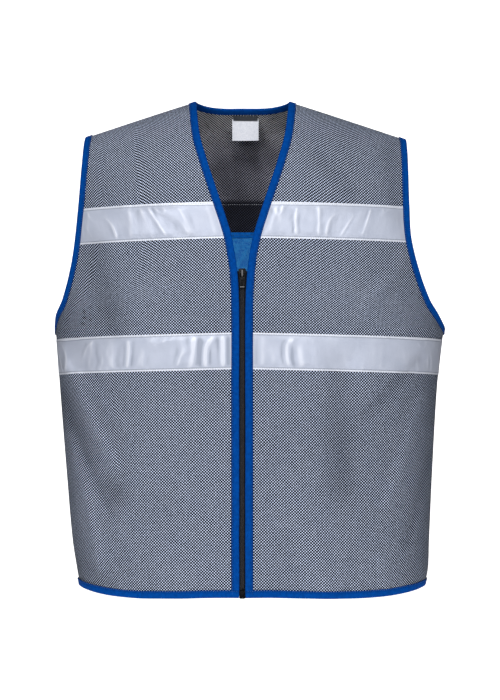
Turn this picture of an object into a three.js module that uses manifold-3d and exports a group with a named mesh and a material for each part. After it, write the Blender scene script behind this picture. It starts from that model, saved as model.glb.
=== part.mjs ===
// A sleeveless work vest for evaporative cooling, in the form it has when it is worn.
// Two fronts and a back of two-tone mesh, all edges bound in blue, silver tapes, a front zip and a cooling liner.
// Millimetres. +Z is up, the fronts face -Y, +X is the wearer's left.
// The origin lies midway between the two points where the neck meets the shoulders.
import * as THREE from "three";
import { mergeVertices } from "three/addons/utils/BufferGeometryUtils.js";
import Module from "manifold-3d";

// Body of the vest
const BODY_LENGTH = 688;
const CHEST_HALF_RIGHT = 265;
const CHEST_HALF_LEFT = 286;
const FRONT_DEPTH = 126;
const BACK_DEPTH = 112;
const SIDE_HEM_DROP = 1;

// Shoulders, neck and armholes
const SHOULDER_HALF_RIGHT = 222;
const SHOULDER_HALF_LEFT = 231;
const SHOULDER_DROP = 52;
const SHOULDER_ROUND = 170;
const NECK_HALF = 66;
const NECK_BACK = 50;
const NAPE_ROUND = 30;
const VEE_DROP = 300;
const ARMPIT_DROP = 320;
const ARMHOLE_OPENING = 8;
const ARMHOLE_ROUND = 60;

// Cloth and trims
const CLOTH = 2;
const TRIM = 1;
const LINER = 2;
const GAP = 0.3;
const BINDING_WIDTH = 10;
const BINDING_THICKNESS = 4;
const BINDING_FOLD = 1.2;

// Silver tapes, by the drop of their upper edge below the neck points
const TAPE_WIDTH = 50;
const CHEST_TAPE_DROP = 148;
const CHEST_TAPE_SAG_RIGHT = 7;
const CHEST_TAPE_SAG_LEFT = 4;
const BACK_TAPE_DROP = 135;
const WAIST_TAPE_DROP = 327;
const WAIST_TAPE_SAG = 10;
const LINER_EDGE_WIDTH = 7;

// Zip
const ZIP_HALF_GAP = 4.8;
const ZIP_TAPE_WIDTH = 14;
const ZIP_TOP_DROP = 240;
const COIL_HALF = 3;
const COIL_THICKNESS = 1.7;
const BOX_HEIGHT = 11;
const BOX_THICKNESS = 4.5;
const BOX_SETBACK = 1;
const SLIDER_WIDTH = 10.6;
const SLIDER_HEIGHT = 13;
const SLIDER_PLATE = 1.5;
const SLIDER_POST_WIDTH = 3;
const SLIDER_POST_HEIGHT = 3;
const BAIL_WIDTH = 2;
const BAIL_THICKNESS = 1.2;
const BAIL_LENGTH = 9;
const PULL_PIN_RADIUS = 0.7;
const PULL_CLEARANCE = 0.4;
const PULL_ARM = 1.5;
const PULL_WIDTH = 8.6;
const PULL_LENGTH = 21;
const PULL_TIP_RADIUS = 2;

// Labels that hang inside the back of the neck
const TAB_WIDTH = 35;
const TAB_HEIGHT = 7;
const LABEL_WIDTH = 38;
const LABEL_HEIGHT = 31;
const LABEL_OVERLAP = 2;
const LABEL_SHIFT = 4;

// Folds of the cloth
const FOLD_DEPTH = 8;
const FOLD_WIDTH = 22;

// Shape of the body from the armpit (0) to the hem (1), as shares of the chest's half widths and of the depths.
// round is the power of the cosine that gives the cross-section: 1 is an ellipse, more is pointed at the sides.
const LOWER_BODY = [
  { down: 0.0, right: 1.0, left: 1.0, front: 1.0, back: 0.97, round: 1.08 },
  { down: 0.06, right: 0.992, left: 0.986, front: 1.0, back: 0.96, round: 1.08 },
  { down: 0.24, right: 0.974, left: 0.962, front: 1.0, back: 0.93, round: 1.06 },
  { down: 0.58, right: 0.936, left: 0.937, front: 0.99, back: 0.94, round: 1.04 },
  { down: 0.81, right: 0.908, left: 0.924, front: 0.99, back: 0.98, round: 1.02 },
  { down: 0.93, right: 0.882, left: 0.917, front: 0.985, back: 1.0, round: 1.0 },
  { down: 1.0, right: 0.864, left: 0.896, front: 0.98, back: 1.0, round: 1.0 },
];

// Depth of the chest from the armpit (0) to the neck points (1).
const UPPER_BODY = [
  { up: 0.0, front: 1.0, back: 0.97 },
  { up: 0.4, front: 0.94, back: 1.0 },
  { up: 0.7, front: 0.92, back: 1.0 },
  { up: 1.0, front: 0.92, back: 1.0 },
];

// Armhole edge seen from the front, from the armpit (0) to the shoulder tip (1).
// right and left are shares of the way in from the chest's half width to the shoulder's.
const ARMHOLE = [
  { up: 0.0, right: 0.0, left: 0.0 },
  { up: 0.07, right: 0.08, left: 0.21 },
  { up: 0.15, right: 0.33, left: 0.47 },
  { up: 0.31, right: 0.61, left: 0.76 },
  { up: 0.47, right: 0.77, left: 0.95 },
  { up: 0.63, right: 0.86, left: 0.99 },
  { up: 0.8, right: 0.93, left: 1.0 },
  { up: 1.0, right: 1.0, left: 1.0 },
];

// Neckline from the foot of the V (0) to the neck point (1).
// half is the share of the way out from the zip's edge to the neck's half width.
const VEE = [
  { up: 0.0, half: 0.0 },
  { up: 0.13, half: 0.02 },
  { up: 0.25, half: 0.08 },
  { up: 0.37, half: 0.2 },
  { up: 0.59, half: 0.55 },
  { up: 0.7, half: 0.725 },
  { up: 0.82, half: 0.887 },
  { up: 1.0, half: 1.0 },
];

// Soft folds of the fronts, each a line from one place to another.
// across is a share of the chest's half width on that side, down one of the body's length.
// depth and width are shares of the fold's named sizes, and a negative depth is a hollow.
const FRONT_FOLDS = [
  { across: -0.97, down: 0.51, toAcross: -0.72, toDown: 0.75, depth: 0.7, width: 0.8 },
  { across: -0.94, down: 0.6, toAcross: -0.66, toDown: 0.8, depth: -0.7, width: 0.7 },
  { across: -0.92, down: 0.7, toAcross: -0.76, toDown: 0.92, depth: 0.6, width: 0.7 },
  { across: -0.78, down: 0.3, toAcross: -0.68, toDown: 0.46, depth: -0.6, width: 0.9 },
  { across: 0.46, down: 0.54, toAcross: 0.48, toDown: 0.78, depth: -0.6, width: 1.0 },
  { across: 0.24, down: 0.78, toAcross: 0.4, toDown: 0.97, depth: 0.6, width: 0.9 },
  { across: 0.72, down: 0.1, toAcross: 0.76, toDown: 0.24, depth: -0.4, width: 0.6 },
];
const BACK_FOLDS = [
  { across: -0.5, down: 0.62, toAcross: -0.62, toDown: 0.95, depth: 0.6, width: 1.0 },
  { across: 0.45, down: 0.6, toAcross: 0.58, toDown: 0.96, depth: 0.7, width: 1.1 },
  { across: -0.72, down: 0.44, toAcross: -0.5, toDown: 0.56, depth: -0.5, width: 0.8 },
  { across: 0.75, down: 0.44, toAcross: 0.52, toDown: 0.58, depth: -0.5, width: 0.8 },
];
const FOLD_FADE = 0.35;

// How finely the cloth is divided
const FRONT_COLUMNS = 11;
const BACK_COLUMNS = 22;
const NECK_COLUMNS = 10;
const SKIRT_ROWS = 8;
const TAPE_ROWS = 2;
const SIDE_ROWS = 5;
const YOKE_ROWS = 8;
const TAG_COLUMNS = 4;
const STEP_ANGLE = 1e-3;
const STEP_HEIGHT = 1e-3;
const SETTLE_STEPS = 24;

// Levels and lines that follow from the sizes
const ARMPIT_Z = -ARMPIT_DROP;
const HEM_Z = -BODY_LENGTH;
const HALF_PI = Math.PI / 2;
const SHOULDER_HALF = (SHOULDER_HALF_RIGHT + SHOULDER_HALF_LEFT) / 2;
const SHOULDER_SLOPE = SHOULDER_DROP / (softDistance(SHOULDER_HALF) - softDistance(NECK_HALF));
const SIDES = {
  right: { sign: -1, chest: CHEST_HALF_RIGHT, shoulder: SHOULDER_HALF_RIGHT, sag: CHEST_TAPE_SAG_RIGHT },
  left: { sign: 1, chest: CHEST_HALF_LEFT, shoulder: SHOULDER_HALF_LEFT, sag: CHEST_TAPE_SAG_LEFT },
};
const FRONT = { name: "front", out: -1, depth: FRONT_DEPTH, folds: FRONT_FOLDS };
const BACK = { name: "back", out: 1, depth: BACK_DEPTH, folds: BACK_FOLDS };

function lerp(from, to, share) {
  return from + (to - from) * share;
}

// The value of a column of a table at a place between its rows, on one smooth curve through them.
function read(rows, key, column, at) {
  const last = rows.length - 1;
  let i = 0;
  while (i < last - 1 && at > rows[i + 1][key]) i += 1;
  const slope = (j) => {
    const a = rows[Math.max(j - 1, 0)];
    const b = rows[Math.min(j + 1, last)];
    return (b[column] - a[column]) / (b[key] - a[key]);
  };
  const low = rows[i];
  const high = rows[i + 1];
  const span = high[key] - low[key];
  const t = Math.min(Math.max((at - low[key]) / span, 0), 1);
  const t2 = t * t;
  const t3 = t2 * t;
  return (
    low[column] * (2 * t3 - 3 * t2 + 1) +
    high[column] * (3 * t2 - 2 * t3) +
    slope(i) * span * (t3 - 2 * t2 + t) +
    slope(i + 1) * span * (t3 - t2)
  );
}

// Distance from the middle, rounded off near the middle so that the nape has no ridge.
function softDistance(x) {
  return Math.hypot(x, NAPE_ROUND) - NAPE_ROUND;
}

// Height of the shoulder line, which runs on across the nape.
function shoulderZ(x) {
  return SHOULDER_SLOPE * (softDistance(NECK_HALF) - softDistance(x));
}

function sideOf(x) {
  return x < 0 ? SIDES.right : SIDES.left;
}

function bodyDepth(face, z) {
  if (z < ARMPIT_Z) {
    return face.depth * read(LOWER_BODY, "down", face.name, (ARMPIT_Z - z) / (ARMPIT_Z - HEM_Z));
  }
  return face.depth * read(UPPER_BODY, "up", face.name, (z - ARMPIT_Z) / ARMPIT_DROP);
}

function roundness(z) {
  return read(LOWER_BODY, "down", "round", (ARMPIT_Z - z) / (ARMPIT_Z - HEM_Z));
}

function sideName(side) {
  return side.sign < 0 ? "right" : "left";
}

function tipZ(side) {
  return shoulderZ(side.shoulder);
}

// Half width of the armhole's edge at a height.
function armholeHalf(side, z) {
  const up = (z - ARMPIT_Z) / (tipZ(side) - ARMPIT_Z);
  return lerp(side.chest, side.shoulder, read(ARMHOLE, "up", sideName(side), up));
}

// Half width of the section that the cloth lies on. Above the armpit it is a little wider than the cloth reaches,
// so that the two edges of the armhole stand apart.
function sectionHalf(side, z) {
  if (z <= ARMPIT_Z) {
    return side.chest * read(LOWER_BODY, "down", sideName(side), (ARMPIT_Z - z) / (ARMPIT_Z - HEM_Z));
  }
  const rise = Math.min((z - ARMPIT_Z) / ARMHOLE_ROUND, 1);
  return side.chest + ARMHOLE_OPENING * rise * rise * (3 - 2 * rise);
}

// The armhole's edge as an angle round the body's section: at the seam below the armpit, and further in above it.
function edgeAngle(side, z) {
  if (z <= ARMPIT_Z) return HALF_PI;
  return Math.asin(Math.min(armholeHalf(side, z) / sectionHalf(side, z), 1));
}

// How much of its full depth the body has at a drop below the shoulder line.
function crown(drop) {
  const share = Math.min(Math.max(drop / SHOULDER_ROUND, 0), 1);
  return Math.sqrt(1 - (1 - share) ** 2);
}

function foldHeight(face, x, z) {
  const chest = sideOf(x).chest;
  let height = 0;
  for (const fold of face.folds) {
    const from = new THREE.Vector2(fold.across * chest, -fold.down * BODY_LENGTH);
    const to = new THREE.Vector2(fold.toAcross * chest, -fold.toDown * BODY_LENGTH);
    const along = to.clone().sub(from);
    const share = new THREE.Vector2(x, z).sub(from).dot(along) / along.lengthSq();
    const nearest = from.addScaledVector(along, Math.min(Math.max(share, 0), 1));
    const away = Math.hypot(x - nearest.x, z - nearest.y) / (fold.width * FOLD_WIDTH);
    height += fold.depth * FOLD_DEPTH * Math.exp(-away * away);
  }
  return height;
}

// A point of the cloth's middle surface, by the angle round the section (0 at the middle) and the height.
function clothPoint(face, angle, z) {
  const side = sideOf(angle);
  const x = sectionHalf(side, z) * Math.sin(angle);
  const inside = Math.max(Math.cos(angle), 0);
  const bulge = bodyDepth(face, z) * inside ** roundness(z) * crown(shoulderZ(x) - z);
  const fade = Math.min(inside / FOLD_FADE, 1) * crown(shoulderZ(x) - z);
  const y = face.out * (GAP / 2 + bulge + foldHeight(face, x, z) * fade * fade);
  return new THREE.Vector3(x, y, z);
}

// The way out from the cloth. On the shoulder seam, where both faces run level, it is square to the shoulder line.
function clothNormal(face, angle, z) {
  const turn = angle < 0 ? STEP_ANGLE : -STEP_ANGLE;
  const here = clothPoint(face, angle, z);
  if (shoulderZ(here.x) - z < STEP_HEIGHT) {
    const slope = (shoulderZ(here.x + STEP_HEIGHT) - shoulderZ(here.x)) / STEP_HEIGHT;
    return new THREE.Vector3(-slope, 0, 1).normalize();
  }
  const across = clothPoint(face, angle + turn, z).sub(here).multiplyScalar(Math.sign(turn));
  const down = clothPoint(face, angle, z - STEP_HEIGHT).sub(here);
  return across.cross(down).multiplyScalar(-face.out).negate().normalize();
}

function angleAt(x, z) {
  return Math.asin(Math.min(Math.max(x / sectionHalf(sideOf(x), z), -1), 1));
}

function place(face, angle, z) {
  return { point: clothPoint(face, angle, z), normal: clothNormal(face, angle, z), angle, z, face };
}

function placeAtX(face, x, z) {
  return place(face, angleAt(x, z), z);
}

// Edge of the V and of the zip opening at a height.
function veeHalf(z) {
  return lerp(ZIP_HALF_GAP, NECK_HALF, read(VEE, "up", "half", 1 + z / VEE_DROP));
}

// The three kinds of edge that are bound, each from one end to the other.
function armholeEdge(face, side) {
  return (z) => place(face, side.sign * edgeAngle(side, z), z);
}

function veeEdge(side) {
  return (z) => placeAtX(FRONT, side.sign * veeHalf(z), z);
}

// The back neckline is half an ellipse in plan, and its height is where the cloth lies at that place.
function napeEdge(turn) {
  return napePlace(NECK_HALF * Math.sin(turn), GAP / 2 + NECK_BACK * Math.cos(turn));
}

function napePlace(x, y) {
  let z = shoulderZ(x);
  for (let i = 0; i < SETTLE_STEPS; i += 1) {
    const inside = Math.cos(angleAt(x, z)) ** roundness(z);
    const share = Math.min(Math.max((y - GAP / 2) / (bodyDepth(BACK, z) * inside), 0), 1);
    z = shoulderZ(x) - SHOULDER_ROUND * (1 - Math.sqrt(1 - share * share));
  }
  return placeAtX(BACK, x, z);
}

// The point at a distance in from an edge, measured on the cloth and square to the edge.
function insetPoint(edge, at, step, width, toward) {
  const here = edge(at);
  const along = edge(at + step).point.sub(here.point).multiplyScalar(Math.sign(step));
  const inward = along.cross(here.normal).normalize().multiplyScalar(toward);
  return here.point.clone().addScaledVector(inward, width);
}

// The armhole binding's inner line. Low down the depth gives the place, and higher up the half width does.
function armholeInset(face, side, z, width) {
  const edge = armholeEdge(face, side);
  const low = z < ARMPIT_Z + ARMHOLE_ROUND;
  const step = low ? STEP_HEIGHT : -STEP_HEIGHT;
  const point = insetPoint(edge, z, step, width, side.sign * face.out);
  if (z >= tipZ(side)) return onShoulder(face, point.x);
  if (!low) return placeAtX(face, point.x, point.z);
  const depth = bodyDepth(face, point.z) * crown(shoulderZ(point.x) - point.z);
  const inside = Math.min(Math.max((Math.abs(point.y) - GAP / 2) / depth, 0), 1);
  const angle = z <= ARMPIT_Z ? HALF_PI : Math.acos(inside ** (1 / roundness(point.z)));
  return place(face, side.sign * angle, point.z);
}

function veeInset(side, z, width) {
  const step = z > -VEE_DROP / 2 ? -STEP_HEIGHT : STEP_HEIGHT;
  const point = insetPoint(veeEdge(side), z, step, width, -side.sign * FRONT.out);
  return z >= 0 ? onShoulder(FRONT, point.x) : placeAtX(FRONT, point.x, point.z);
}

function napeInset(turn, width) {
  const step = turn > 0 ? -STEP_ANGLE : STEP_ANGLE;
  const point = insetPoint(napeEdge, turn, step, width, -1);
  return Math.abs(turn) >= HALF_PI ? onShoulder(BACK, point.x) : napePlace(point.x, point.y);
}

// The place on the shoulder seam at a distance from the middle.
function onShoulder(face, x) {
  return placeAtX(face, x, shoulderZ(x));
}

// The height on an edge whose inset place lies at a wanted height.
function edgeHeight(insetAt, wanted) {
  let z = wanted;
  for (let i = 0; i < SETTLE_STEPS; i += 1) z += (wanted - insetAt(z).z) / 2;
  return z;
}

// Where a panel stops: a gap in from the binding's inner line, square to the edge.
function beside(edge, trim) {
  const inward = trim.point.clone().sub(edge.point).normalize();
  return { ...trim, point: trim.point.clone().addScaledVector(inward, GAP) };
}

// One closed solid from points and faces, turned the right way out.
function solid(points, faces) {
  let volume = 0;
  for (const [a, b, c] of faces) {
    volume += points[a].dot(points[b].clone().cross(points[c]));
  }
  const ordered = volume < 0 ? faces.map(([a, b, c]) => [a, c, b]) : faces;
  const geometry = new THREE.BufferGeometry();
  geometry.setAttribute("position", new THREE.Float32BufferAttribute(points.flatMap((p) => p.toArray()), 3));
  geometry.setIndex(ordered.flat());
  return geometry;
}

function quad(a, b, c, d) {
  return [
    [a, b, c],
    [a, c, d],
  ];
}

// A wall of cloth between two offsets from a grid of places.
function wall(grid, low, high) {
  const rows = grid.length;
  const columns = grid[0].length;
  const layer = (offset) => grid.flat().map((at) => at.point.clone().addScaledVector(at.normal, offset));
  const points = [...layer(low), ...layer(high)];
  const inner = (r, c) => r * columns + c;
  const outer = (r, c) => rows * columns + r * columns + c;
  const faces = [];
  for (let r = 1; r < rows; r += 1) {
    for (let c = 1; c < columns; c += 1) {
      faces.push(...quad(outer(r - 1, c - 1), outer(r - 1, c), outer(r, c), outer(r, c - 1)));
      faces.push(...quad(inner(r - 1, c - 1), inner(r, c - 1), inner(r, c), inner(r - 1, c)));
    }
    const end = columns - 1;
    faces.push(...quad(outer(r - 1, 0), outer(r, 0), inner(r, 0), inner(r - 1, 0)));
    faces.push(...quad(outer(r, end), outer(r - 1, end), inner(r - 1, end), inner(r, end)));
  }
  for (let c = 1; c < columns; c += 1) {
    const top = rows - 1;
    faces.push(...quad(outer(0, c), outer(0, c - 1), inner(0, c - 1), inner(0, c)));
    faces.push(...quad(outer(top, c - 1), outer(top, c), inner(top, c), inner(top, c - 1)));
  }
  return solid(points, faces);
}

// A strip along a row of rings of points, closed on itself or with flat ends.
function strip(rings, closed) {
  const size = rings[0].length;
  const faces = [];
  const spans = closed ? rings.length : rings.length - 1;
  for (let i = 0; i < spans; i += 1) {
    const next = (i + 1) % rings.length;
    for (let j = 0; j < size; j += 1) {
      const k = (j + 1) % size;
      faces.push(...quad(i * size + j, i * size + k, next * size + k, next * size + j));
    }
  }
  if (!closed) {
    const last = (rings.length - 1) * size;
    for (let j = 1; j < size - 1; j += 1) {
      faces.push([0, j + 1, j], [last, last + j, last + j + 1]);
    }
  }
  return solid(rings.flat(), faces);
}

// The folded binding's section: flat on both faces of the cloth and rounded where it folds over the edge.
function bindingRing({ edge, trim }) {
  const half = BINDING_THICKNESS / 2;
  const outward = edge.point.clone().sub(trim.point).normalize();
  return [
    trim.point.clone().addScaledVector(trim.normal, half),
    edge.point.clone().addScaledVector(edge.normal, half).addScaledVector(outward, -BINDING_FOLD),
    edge.point.clone(),
    edge.point.clone().addScaledVector(edge.normal, -half).addScaledVector(outward, -BINDING_FOLD),
    trim.point.clone().addScaledVector(trim.normal, -half),
  ];
}

function shares(count) {
  return Array.from({ length: count }, (_, i) => (i + 1) / count);
}

function easeIn(share) {
  return share * share;
}

function easeOut(share) {
  return 1 - easeIn(1 - share);
}

// Rows from the hem to the shoulder. middle is the height towards the front edge or the centre of the back.
// outer is the height on the side seam, or on the armhole's edge from the armpit up.
function rowsOf(face, side) {
  const isFront = face === FRONT;
  const hem = HEM_Z + BINDING_WIDTH + GAP;
  const waistTop = -WAIST_TAPE_DROP;
  const waistBottom = waistTop - TAPE_WIDTH;
  const chestTop = isFront ? -CHEST_TAPE_DROP : -BACK_TAPE_DROP;
  const chestBottom = chestTop - TAPE_WIDTH;
  const chestSplit = isFront ? (chestTop + chestBottom) / 2 : chestBottom + LINER_EDGE_WIDTH;
  const sag = isFront ? side.sag : 0;
  const onArmhole = (z) => edgeHeight((at) => armholeInset(face, side, at, BINDING_WIDTH), z);
  const tapeFoot = onArmhole(chestBottom - sag);
  const tapeHead = onArmhole(chestTop - sag);

  const rows = [{ middle: hem, outer: hem - SIDE_HEM_DROP, open: false, lift: 0 }];
  const add = (middle, outer, open, lift) => rows.push({ middle, outer, open, lift });
  for (const t of shares(SKIRT_ROWS)) {
    add(lerp(hem, waistBottom, t), lerp(hem - SIDE_HEM_DROP, waistBottom - WAIST_TAPE_SAG, t), false, 0);
  }
  for (const t of shares(TAPE_ROWS)) {
    const rise = TAPE_WIDTH * t;
    add(waistBottom + rise, waistBottom - WAIST_TAPE_SAG + rise, false, 0);
  }
  add(ARMPIT_Z, ARMPIT_Z, true, 0);
  for (const t of shares(SIDE_ROWS)) {
    add(lerp(ARMPIT_Z, chestBottom, t), lerp(ARMPIT_Z, tapeFoot, easeIn(t)), true, 0);
  }
  add(chestSplit, onArmhole(chestSplit - sag), true, 0);
  add(chestTop, tapeHead, true, 0);
  for (const t of shares(YOKE_ROWS)) {
    add(lerp(chestTop, 0, easeOut(t)), lerp(tapeHead, tipZ(side), easeOut(t)), true, t);
  }
  return rows;
}

function outerPlace(face, side, row) {
  if (!row.open) return place(face, side.sign * HALF_PI, row.outer);
  return beside(armholeEdge(face, side)(row.outer), armholeInset(face, side, row.outer, BINDING_WIDTH));
}

// The height on the V's edge that belongs to a row of a front.
function veeHeight(side, row) {
  if (row.lift === 1) return 0;
  const height = edgeHeight((z) => veeInset(side, z, BINDING_WIDTH), row.middle);
  return Math.min(height, 0);
}

// Places across a row between two borders. Towards the shoulder the row bends to follow the shoulder's line.
function across(face, from, to, middleZ, lift, columns) {
  const dropOf = (at) => (lift === 1 ? 0 : shoulderZ(at.point.x) - at.z);
  return [0, ...shares(columns)].map((share) => {
    if (share === 0) return from;
    if (share === 1) return to;
    const angle = lerp(from.angle, to.angle, share);
    const level = middleZ(share);
    let z = level;
    for (let i = 0; i < SETTLE_STEPS; i += 1) {
      const x = sectionHalf(sideOf(angle), z) * Math.sin(angle);
      z = lerp(level, shoulderZ(x) - lerp(dropOf(from), dropOf(to), share), lift);
    }
    return place(face, angle, z);
  });
}

function frontGrid(side) {
  return rowsOf(FRONT, side).map((row) => {
    const z = veeHeight(side, row);
    const inner = beside(veeEdge(side)(z), veeInset(side, z, BINDING_WIDTH));
    const outer = outerPlace(FRONT, side, row);
    return across(FRONT, inner, outer, (share) => lerp(inner.z, outer.z, share), row.lift, FRONT_COLUMNS);
  });
}

// The back's top row follows the right shoulder, the binding of the neck and the left shoulder.
function backTopRow() {
  const shoulderColumns = (BACK_COLUMNS - NECK_COLUMNS) / 2;
  const napeBorder = (turn) => beside(napeEdge(turn), napeInset(turn, BINDING_WIDTH));
  const shoulder = (side) => {
    const tip = tipZ(side);
    const outer = beside(armholeEdge(BACK, side)(tip), armholeInset(BACK, side, tip, BINDING_WIDTH));
    const inner = napeBorder(side.sign * HALF_PI);
    const between = (share) => onShoulder(BACK, lerp(outer.point.x, inner.point.x, share));
    return [outer, ...shares(shoulderColumns).slice(0, -1).map(between), inner];
  };
  const nape = shares(NECK_COLUMNS)
    .slice(0, -1)
    .map((share) => napeBorder(lerp(-HALF_PI, HALF_PI, share)));
  return [...shoulder(SIDES.right), ...nape, ...shoulder(SIDES.left).reverse()];
}

function backGrid() {
  const right = rowsOf(BACK, SIDES.right);
  const left = rowsOf(BACK, SIDES.left);
  const grid = right.slice(0, -YOKE_ROWS).map((row, i) => {
    const from = outerPlace(BACK, SIDES.right, row);
    const to = outerPlace(BACK, SIDES.left, left[i]);
    const level = (share) => {
      const end = share < 0.5 ? from.z : to.z;
      return lerp(row.middle, end, (2 * share - 1) ** 2);
    };
    return across(BACK, from, to, level, 0, BACK_COLUMNS);
  });
  const foot = grid[grid.length - 1];
  const top = backTopRow();
  shares(YOKE_ROWS).forEach((t, i) => {
    const at = right.length - YOKE_ROWS + i;
    const yoke = foot.map((low, c) => {
      if (t === 1) return top[c];
      if (c === 0) return outerPlace(BACK, SIDES.right, right[at]);
      if (c === BACK_COLUMNS) return outerPlace(BACK, SIDES.left, left[at]);
      return place(BACK, lerp(low.angle, top[c].angle, t), lerp(low.z, top[c].z, easeOut(t)));
    });
    grid.push(yoke);
  });
  return grid;
}

// Bindings, each a row of edge and inner line
function veeStations(side) {
  return rowsOf(FRONT, side).map((row) => {
    const z = veeHeight(side, row);
    return { edge: veeEdge(side)(z), trim: veeInset(side, z, BINDING_WIDTH) };
  });
}

function frontNeckBinding() {
  const nape = [0, ...shares(NECK_COLUMNS)]
    .map((share) => lerp(-HALF_PI, HALF_PI, share))
    .map((turn) => ({ edge: napeEdge(turn), trim: napeInset(turn, BINDING_WIDTH) }));
  const stations = [...veeStations(SIDES.right), ...nape, ...veeStations(SIDES.left).reverse()];
  return strip(stations.map(bindingRing), false);
}

function armholeBinding(side) {
  const run = (face) =>
    rowsOf(face, side)
      .filter((row) => row.open)
      .map((row) => ({
        edge: armholeEdge(face, side)(row.outer),
        trim: armholeInset(face, side, row.outer, BINDING_WIDTH),
      }));
  const front = run(FRONT);
  const back = run(BACK).slice(1, -1).reverse();
  return strip([...front, ...back].map(bindingRing), true);
}

function hemStation(at) {
  const low = at.z - BINDING_WIDTH - GAP;
  return { edge: place(at.face, at.angle, low), trim: place(at.face, at.angle, low + BINDING_WIDTH) };
}

function hemBinding(fronts, back) {
  const end = (side) => {
    const first = fronts[sideName(side)][0][0];
    return placeAtX(FRONT, side.sign * ZIP_HALF_GAP, first.z);
  };
  const run = [
    end(SIDES.right),
    ...fronts.right[0],
    ...back[0].slice(1, -1),
    ...[...fronts.left[0]].reverse(),
    end(SIDES.left),
  ];
  return strip(run.map(hemStation).map(bindingRing), false);
}

// Rows and columns of the grids that the tapes and the liner share with the panels
const WAIST_FIRST = SKIRT_ROWS;
const CHEST_FIRST = SKIRT_ROWS + TAPE_ROWS + 1 + SIDE_ROWS;

function tape(grid, first) {
  const low = CLOTH / 2 + GAP;
  return wall(grid.slice(first, first + TAPE_ROWS + 1), low, low + TRIM);
}

function coolingLiner(back) {
  const rows = back.slice(0, CHEST_FIRST);
  const top = back[CHEST_FIRST].map((at) => place(at.face, at.angle, at.z - GAP));
  const high = -CLOTH / 2 - GAP;
  return wall([...rows, top], high - LINER, high);
}

function linerBinding(back) {
  const high = -CLOTH / 2 - GAP;
  return wall(back.slice(CHEST_FIRST, CHEST_FIRST + 2), high - LINER - TRIM, high);
}

// The zip lies behind the bindings and is seen in the gap between them.
const ZIP_BACK = -BINDING_THICKNESS / 2 - GAP;
const COIL_FRONT = ZIP_BACK + GAP + COIL_THICKNESS;
const ZIP_FOOT_Z = HEM_Z + BINDING_WIDTH - GAP;
const ZIP_HEAD_Z = -ZIP_TOP_DROP - SLIDER_POST_HEIGHT - GAP;

function zipRows(side) {
  const between = veeStations(side)
    .map((station) => station.trim.z)
    .filter((z) => z > ZIP_FOOT_Z + BINDING_WIDTH && z < ZIP_HEAD_Z - BINDING_WIDTH);
  return [ZIP_FOOT_Z, ...between, ZIP_HEAD_Z];
}

function zipTape(side) {
  const xs = [GAP / 2, ZIP_HALF_GAP, ZIP_TAPE_WIDTH].map((x) => side.sign * x);
  const grid = zipRows(side).map((z) => xs.map((x) => placeAtX(FRONT, x, z)));
  return wall(grid, ZIP_BACK - TRIM, ZIP_BACK);
}

function zipCoil() {
  const xs = [-COIL_HALF, 0, COIL_HALF];
  const grid = zipRows(SIDES.right).map((z) => xs.map((x) => placeAtX(FRONT, x, z)));
  return wall(grid, ZIP_BACK + GAP, COIL_FRONT);
}

function box(width, depth, height, x, y, z) {
  return new THREE.BoxGeometry(width, depth, height).translate(x, y, z);
}

const wasm = await Module();
wasm.setup();

function manifold(geometry) {
  const bare = geometry.clone();
  bare.deleteAttribute("normal");
  bare.deleteAttribute("uv");
  const merged = mergeVertices(bare);
  const vertProperties = new Float32Array(merged.attributes.position.array);
  return new wasm.Manifold(
    new wasm.Mesh({ numProp: 3, vertProperties, triVerts: new Uint32Array(merged.index.array) }),
  );
}

function joined(geometries) {
  const mesh = geometries.map(manifold).reduce((all, next) => all.add(next)).getMesh();
  const geometry = new THREE.BufferGeometry();
  geometry.setAttribute("position", new THREE.Float32BufferAttribute(mesh.vertProperties, 3));
  geometry.setIndex([...mesh.triVerts]);
  return geometry;
}

// The pull's bar turns in the hollow under the bail. The pull's window clears the bail's corners as it swings.
const BAIL_HOLLOW = 2 * (PULL_PIN_RADIUS + PULL_CLEARANCE);
const BAIL_REACH = Math.hypot(BAIL_LENGTH / 2, BAIL_HOLLOW / 2 + BAIL_THICKNESS);
const SLIDER_FACE = -COIL_FRONT - GAP - SLIDER_PLATE;
const PULL_Z = -SLIDER_HEIGHT / 2;

// Slider: two plates round the coil, a post between the tapes above the coil's end, and a bail for the pull.
// Its own frame has the origin on the cloth's middle surface at the slider's head, -Y to the front.
function sliderGeometry() {
  const middle = -SLIDER_HEIGHT / 2;
  const frontBack = -COIL_FRONT - GAP;
  const rearFront = -ZIP_BACK + TRIM + GAP;
  const frontPlate = box(
    SLIDER_WIDTH, SLIDER_PLATE, SLIDER_HEIGHT, 0, frontBack - SLIDER_PLATE / 2, middle,
  );
  const rearPlate = box(
    SLIDER_WIDTH, SLIDER_PLATE, SLIDER_HEIGHT, 0, rearFront + SLIDER_PLATE / 2, middle,
  );
  const postDepth = rearFront - frontBack + SLIDER_PLATE;
  const post = box(
    SLIDER_POST_WIDTH, postDepth, SLIDER_POST_HEIGHT,
    0, (frontBack + rearFront) / 2, -SLIDER_POST_HEIGHT / 2,
  );
  const legDepth = BAIL_HOLLOW + BAIL_THICKNESS + SLIDER_PLATE / 2;
  const legY = SLIDER_FACE + SLIDER_PLATE / 2 - legDepth / 2;
  const leg = (z) => box(BAIL_WIDTH, legDepth, BAIL_THICKNESS, 0, legY, z);
  const reach = BAIL_LENGTH / 2 - BAIL_THICKNESS / 2;
  const bar = box(
    BAIL_WIDTH, BAIL_THICKNESS, BAIL_LENGTH,
    0, SLIDER_FACE - BAIL_HOLLOW - BAIL_THICKNESS / 2, PULL_Z,
  );
  return joined([frontPlate, rearPlate, post, leg(PULL_Z + reach), leg(PULL_Z - reach), bar]);
}

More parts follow.
